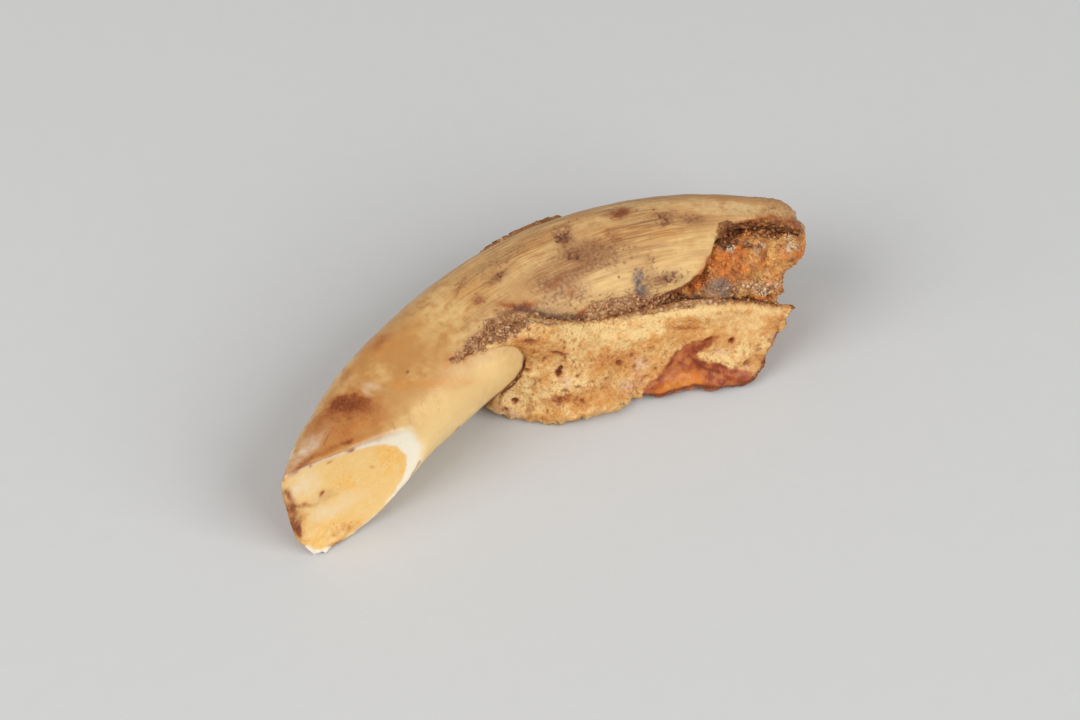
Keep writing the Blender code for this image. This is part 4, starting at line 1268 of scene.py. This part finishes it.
class ToothSettings(bpy.types.PropertyGroup):
    """Sizes and colours of the tooth."""

    mesh_size: length_property("Mesh size", "How fine the tooth's mesh is", 0.24 * MM)
    crease_angle: number_property(
        "Crease angle", "Edges sharper than this stay crisp", math.radians(50), subtype="ANGLE"
    )
    groove_depth: length_property("Groove depth", "Depth of the root's grooves", 0.05 * MM)
    wear_depth: length_property("Wear depth", "How uneven the whole tooth is", 0.07 * MM)
    tip_reach: length_property("Tip reach", "How far the worn face's lower edge stands forward", 0.9 * MM)
    edge_reach: length_property("Edge reach", "How far the worn face's left edge stands out", 0.6 * MM)
    chip_depth: length_property("Chip depth", "Depth of the chips in the worn face's edge", 0.4 * MM)
    corner_loss: length_property("Corner loss", "How much is missing at the open end's corners", 1.7 * MM)
    tan: colour_property("Tan", "The crown's upper side", tint(188, 134, 74))
    # Cream also paints the pale strip along the crown's upper left outline, which is partly a painted sheen
    cream: colour_property("Cream", "The crown's side that faces the tongue", tint(238, 203, 138))
    root_tan: colour_property("Root's tan", "The root's upper side", tint(195, 144, 90))
    root_cream: colour_property("Root's cream", "The root's side that faces the tongue", tint(212, 172, 112))
    brown: colour_property("Brown", "The grooves of the root", tint(140, 92, 56))
    # Milk also paints a highlight along the worn face's upper edge
    milk: colour_property("Milk", "Enamel and pale flakes", tint(240, 232, 212))
    dentine: colour_property("Dentine", "The worn face", tint(237, 196, 127))
    honey: colour_property("Honey", "The worn face's amber patches", tint(240, 184, 90))
    amber: colour_property("Amber", "Orange smears", tint(206, 134, 56))
    rust: colour_property("Rust", "The darkest red-brown stains", tint(112, 48, 16))
    rust_glow: colour_property("Rust's edge", "The edges of the red-brown stains", tint(168, 96, 46))
    # Soot also paints the shadow in the groove under the root
    soot: colour_property("Soot", "Charcoal specks and cracks", tint(86, 54, 40))
    grit: colour_property("Grit", "Grainy brown stains", tint(132, 80, 48))
    haze: colour_property("Haze", "The brown haze on the root", tint(136, 92, 64))
    slate: colour_property("Slate", "The blue-grey spot", tint(116, 108, 104))
    crumb: colour_property("Crumb", "Soil along the bone's edge", tint(174, 116, 74))
    pebble: colour_property("Pebble", "The palest grains of soil", tint(218, 172, 124))


class BoneSettings(bpy.types.PropertyGroup):
    """Sizes and colours of the jaw bone."""

    mesh_size: length_property("Mesh size", "How fine the bone's mesh is", 0.22 * MM)
    lump_depth: length_property("Lump depth", "Height of the bone's lumps", 0.4 * MM)
    pore_depth: length_property("Pore depth", "Depth of the bone's pores", 0.45 * MM)
    crust_depth: length_property("Crust depth", "Height of the soil on the bone", 0.25 * MM)
    jag_depth: length_property("Jag depth", "How ragged the bone's broken ends are", 0.7 * MM)
    edge_shift: length_property("Edge shift", "How far the bone's left edge leans on the tooth", 0.7 * MM)
    lower_swell: length_property("Lower swell", "How far the bone's lower edge stands out", 0.85 * MM)
    corner_reach: length_property("Corner reach", "How far the lower right corner is drawn out", 1.2 * MM)
    far_trim: length_property("Far trim", "How much thinner the bone is beyond the root's crest", 0.4 * MM)
    closing: length_property("Closing", "How far the bone swells towards the tooth", 0.45 * MM)
    spike_point: number_property("Spike", "How sharp the bone's spike is", 0.6)
    cream: colour_property("Cream", "The bone's clean surface", tint(239, 204, 141))
    tan: colour_property("Tan", "The bone's stained surface", tint(216, 160, 94))
    amber: colour_property("Amber", "Orange smears", tint(202, 134, 62))
    rose: colour_property("Rose", "Pinkish white grains", tint(226, 190, 160))
    # Brown darkens the insides of the pores, partly as painted shade
    brown: colour_property("Brown", "The insides of the pores", tint(126, 76, 40))
    rust: colour_property("Rust", "The darkest red-brown stains", tint(112, 52, 26))
    rust_glow: colour_property("Rust's edge", "The edges of the red-brown stains", tint(184, 106, 52))
    crumb: colour_property("Crumb", "Soil on the bone's edge", tint(172, 118, 78))
    soot: colour_property("Soot", "The darkest specks and edges", tint(88, 56, 42))
    resin: colour_property("Resin", "The glossy red-orange patch", tint(149, 60, 27))
    ember: colour_property("Ember", "The glossy patch's bright middle", tint(210, 118, 38))


class FillSettings(bpy.types.PropertyGroup):
    """Sizes and colours of the filling in the root's open end."""

    mesh_size: length_property("Mesh size", "How fine the filling's mesh is", 0.19 * MM)
    crumb_depth: length_property("Crumb depth", "Height of the big crumbs", 0.5 * MM)
    grit_depth: length_property("Grit depth", "Height of the small crumbs", 0.3 * MM)
    swell: length_property("Swell", "How far the filling stands up in the hollow", 0.5 * MM)
    corner_loss: length_property("Corner loss", "How much is missing at the open end's corners", 1.7 * MM)
    orange: colour_property("Orange", "The filling's brighter crumbs", tint(224, 136, 58))
    tan: colour_property("Tan", "The filling's paler crumbs", tint(229, 176, 104))
    brown: colour_property("Brown", "The filling's darker crumbs", tint(136, 80, 50))
    # Soot is the dark of the painted shade under the root's rim, and of the specks on the glassy patch
    soot: colour_property("Soot", "The filling's darkest hollows", tint(80, 52, 42))
    ember: colour_property("Ember", "The filling's brightest crumbs", tint(228, 122, 38))
    milk: colour_property("Milk", "White crumbs and flakes", tint(236, 212, 176))
    glass: colour_property("Glass", "The glassy grey patch", tint(134, 110, 94))


class CrumbSettings(bpy.types.PropertyGroup):
    """Sizes and colours of the loose crumbs."""

    smallest: length_property("Smallest", "Radius of the smallest crumbs", 0.06 * MM)
    largest: length_property("Largest", "Radius of the largest crumbs", 0.24 * MM)
    lift: number_property("Lift", "How far a crumb stands out, in radii", 0.4)
    dark: colour_property("Dark", "The darkest crumbs", tint(126, 82, 58))
    brown: colour_property("Brown", "Brown crumbs", tint(164, 114, 80))
    tan: colour_property("Tan", "Tan crumbs", tint(200, 150, 104))
    pale: colour_property("Pale", "Pale crumbs", tint(228, 200, 164))
    orange: colour_property("Orange", "Orange crumbs", tint(222, 134, 56))


class StageSettings(bpy.types.PropertyGroup):
    """The floor and the lights."""

    floor: colour_property("Floor", "The floor's colour", tint(205, 205, 204))
    floor_size: length_property("Floor size", "Width of the floor", 4.0)
    left_power: number_property("Left power", "The left light", 3.9, unit="POWER")
    right_power: number_property("Right power", "The right light", 4.2, unit="POWER")
    sky: number_property("Sky", "Strength of the even light", 0.36)


class HORSE_TOOTH_OT_tooth(bpy.types.Operator):
    """Adds the tooth, with its worn face, stains and grooved root"""

    bl_idname = "horse_tooth.tooth"
    bl_label = "Tooth"

    def execute(self, context):
        build_tooth(context.scene.horse_tooth)
        return {"FINISHED"}


class HORSE_TOOTH_OT_bone(bpy.types.Operator):
    """Adds the broken piece of spongy jaw bone"""

    bl_idname = "horse_tooth.bone"
    bl_label = "Jaw bone"

    def execute(self, context):
        build_bone(context.scene.horse_tooth_bone)
        return {"FINISHED"}


class HORSE_TOOTH_OT_fill(bpy.types.Operator):
    """Adds the crumbly filling of the root's open end"""

    bl_idname = "horse_tooth.fill"
    bl_label = "Filling"

    def execute(self, context):
        build_fill(context.scene.horse_tooth_fill)
        return {"FINISHED"}


class HORSE_TOOTH_OT_crumbs(bpy.types.Operator):
    """Scatters loose crumbs over the tooth, the bone and the filling, which have to be there already"""

    bl_idname = "horse_tooth.crumbs"
    bl_label = "Loose crumbs"

    def execute(self, context):
        build_crumbs(context.scene.horse_tooth_crumbs)
        return {"FINISHED"}


class HORSE_TOOTH_OT_stage(bpy.types.Operator):
    """Adds the floor, the soft lights and the camera"""

    bl_idname = "horse_tooth.stage"
    bl_label = "Stage"

    def execute(self, context):
        build_stage(context.scene.horse_tooth_stage)
        return {"FINISHED"}


class HORSE_TOOTH_PT_panel(bpy.types.Panel):
    """Lists the pieces, with their sizes and colours"""

    bl_idname = "HORSE_TOOTH_PT_panel"
    bl_label = "Horse tooth"
    bl_space_type = "VIEW_3D"
    bl_region_type = "UI"
    bl_category = "Horse tooth"

    def draw(self, context):
        for operator, group in GROUPS:
            box = self.layout.box()
            box.operator(operator.bl_idname)
            settings = getattr(context.scene, group)
            for name in settings.__annotations__:
                box.prop(settings, name)


GROUPS = (
    (HORSE_TOOTH_OT_tooth, "horse_tooth"),
    (HORSE_TOOTH_OT_bone, "horse_tooth_bone"),
    (HORSE_TOOTH_OT_fill, "horse_tooth_fill"),
    (HORSE_TOOTH_OT_crumbs, "horse_tooth_crumbs"),
    (HORSE_TOOTH_OT_stage, "horse_tooth_stage"),
)
SETTINGS = (ToothSettings, BoneSettings, FillSettings, CrumbSettings, StageSettings)
CLASSES = (*SETTINGS, *(operator for operator, group in GROUPS), HORSE_TOOTH_PT_panel)


def register():
    for kind in CLASSES:
        bpy.utils.register_class(kind)
    for (operator, group), settings in zip(GROUPS, SETTINGS):
        setattr(bpy.types.Scene, group, bpy.props.PointerProperty(type=settings))


def unregister():
    for operator, group in GROUPS:
        delattr(bpy.types.Scene, group)
    for kind in reversed(CLASSES):
        bpy.utils.unregister_class(kind)


def main():
    register()
    bpy.ops.horse_tooth.stage()
    bpy.ops.horse_tooth.tooth()
    bpy.ops.horse_tooth.bone()
    bpy.ops.horse_tooth.fill()
    bpy.ops.horse_tooth.crumbs()


if __name__ == "__main__":
    main()
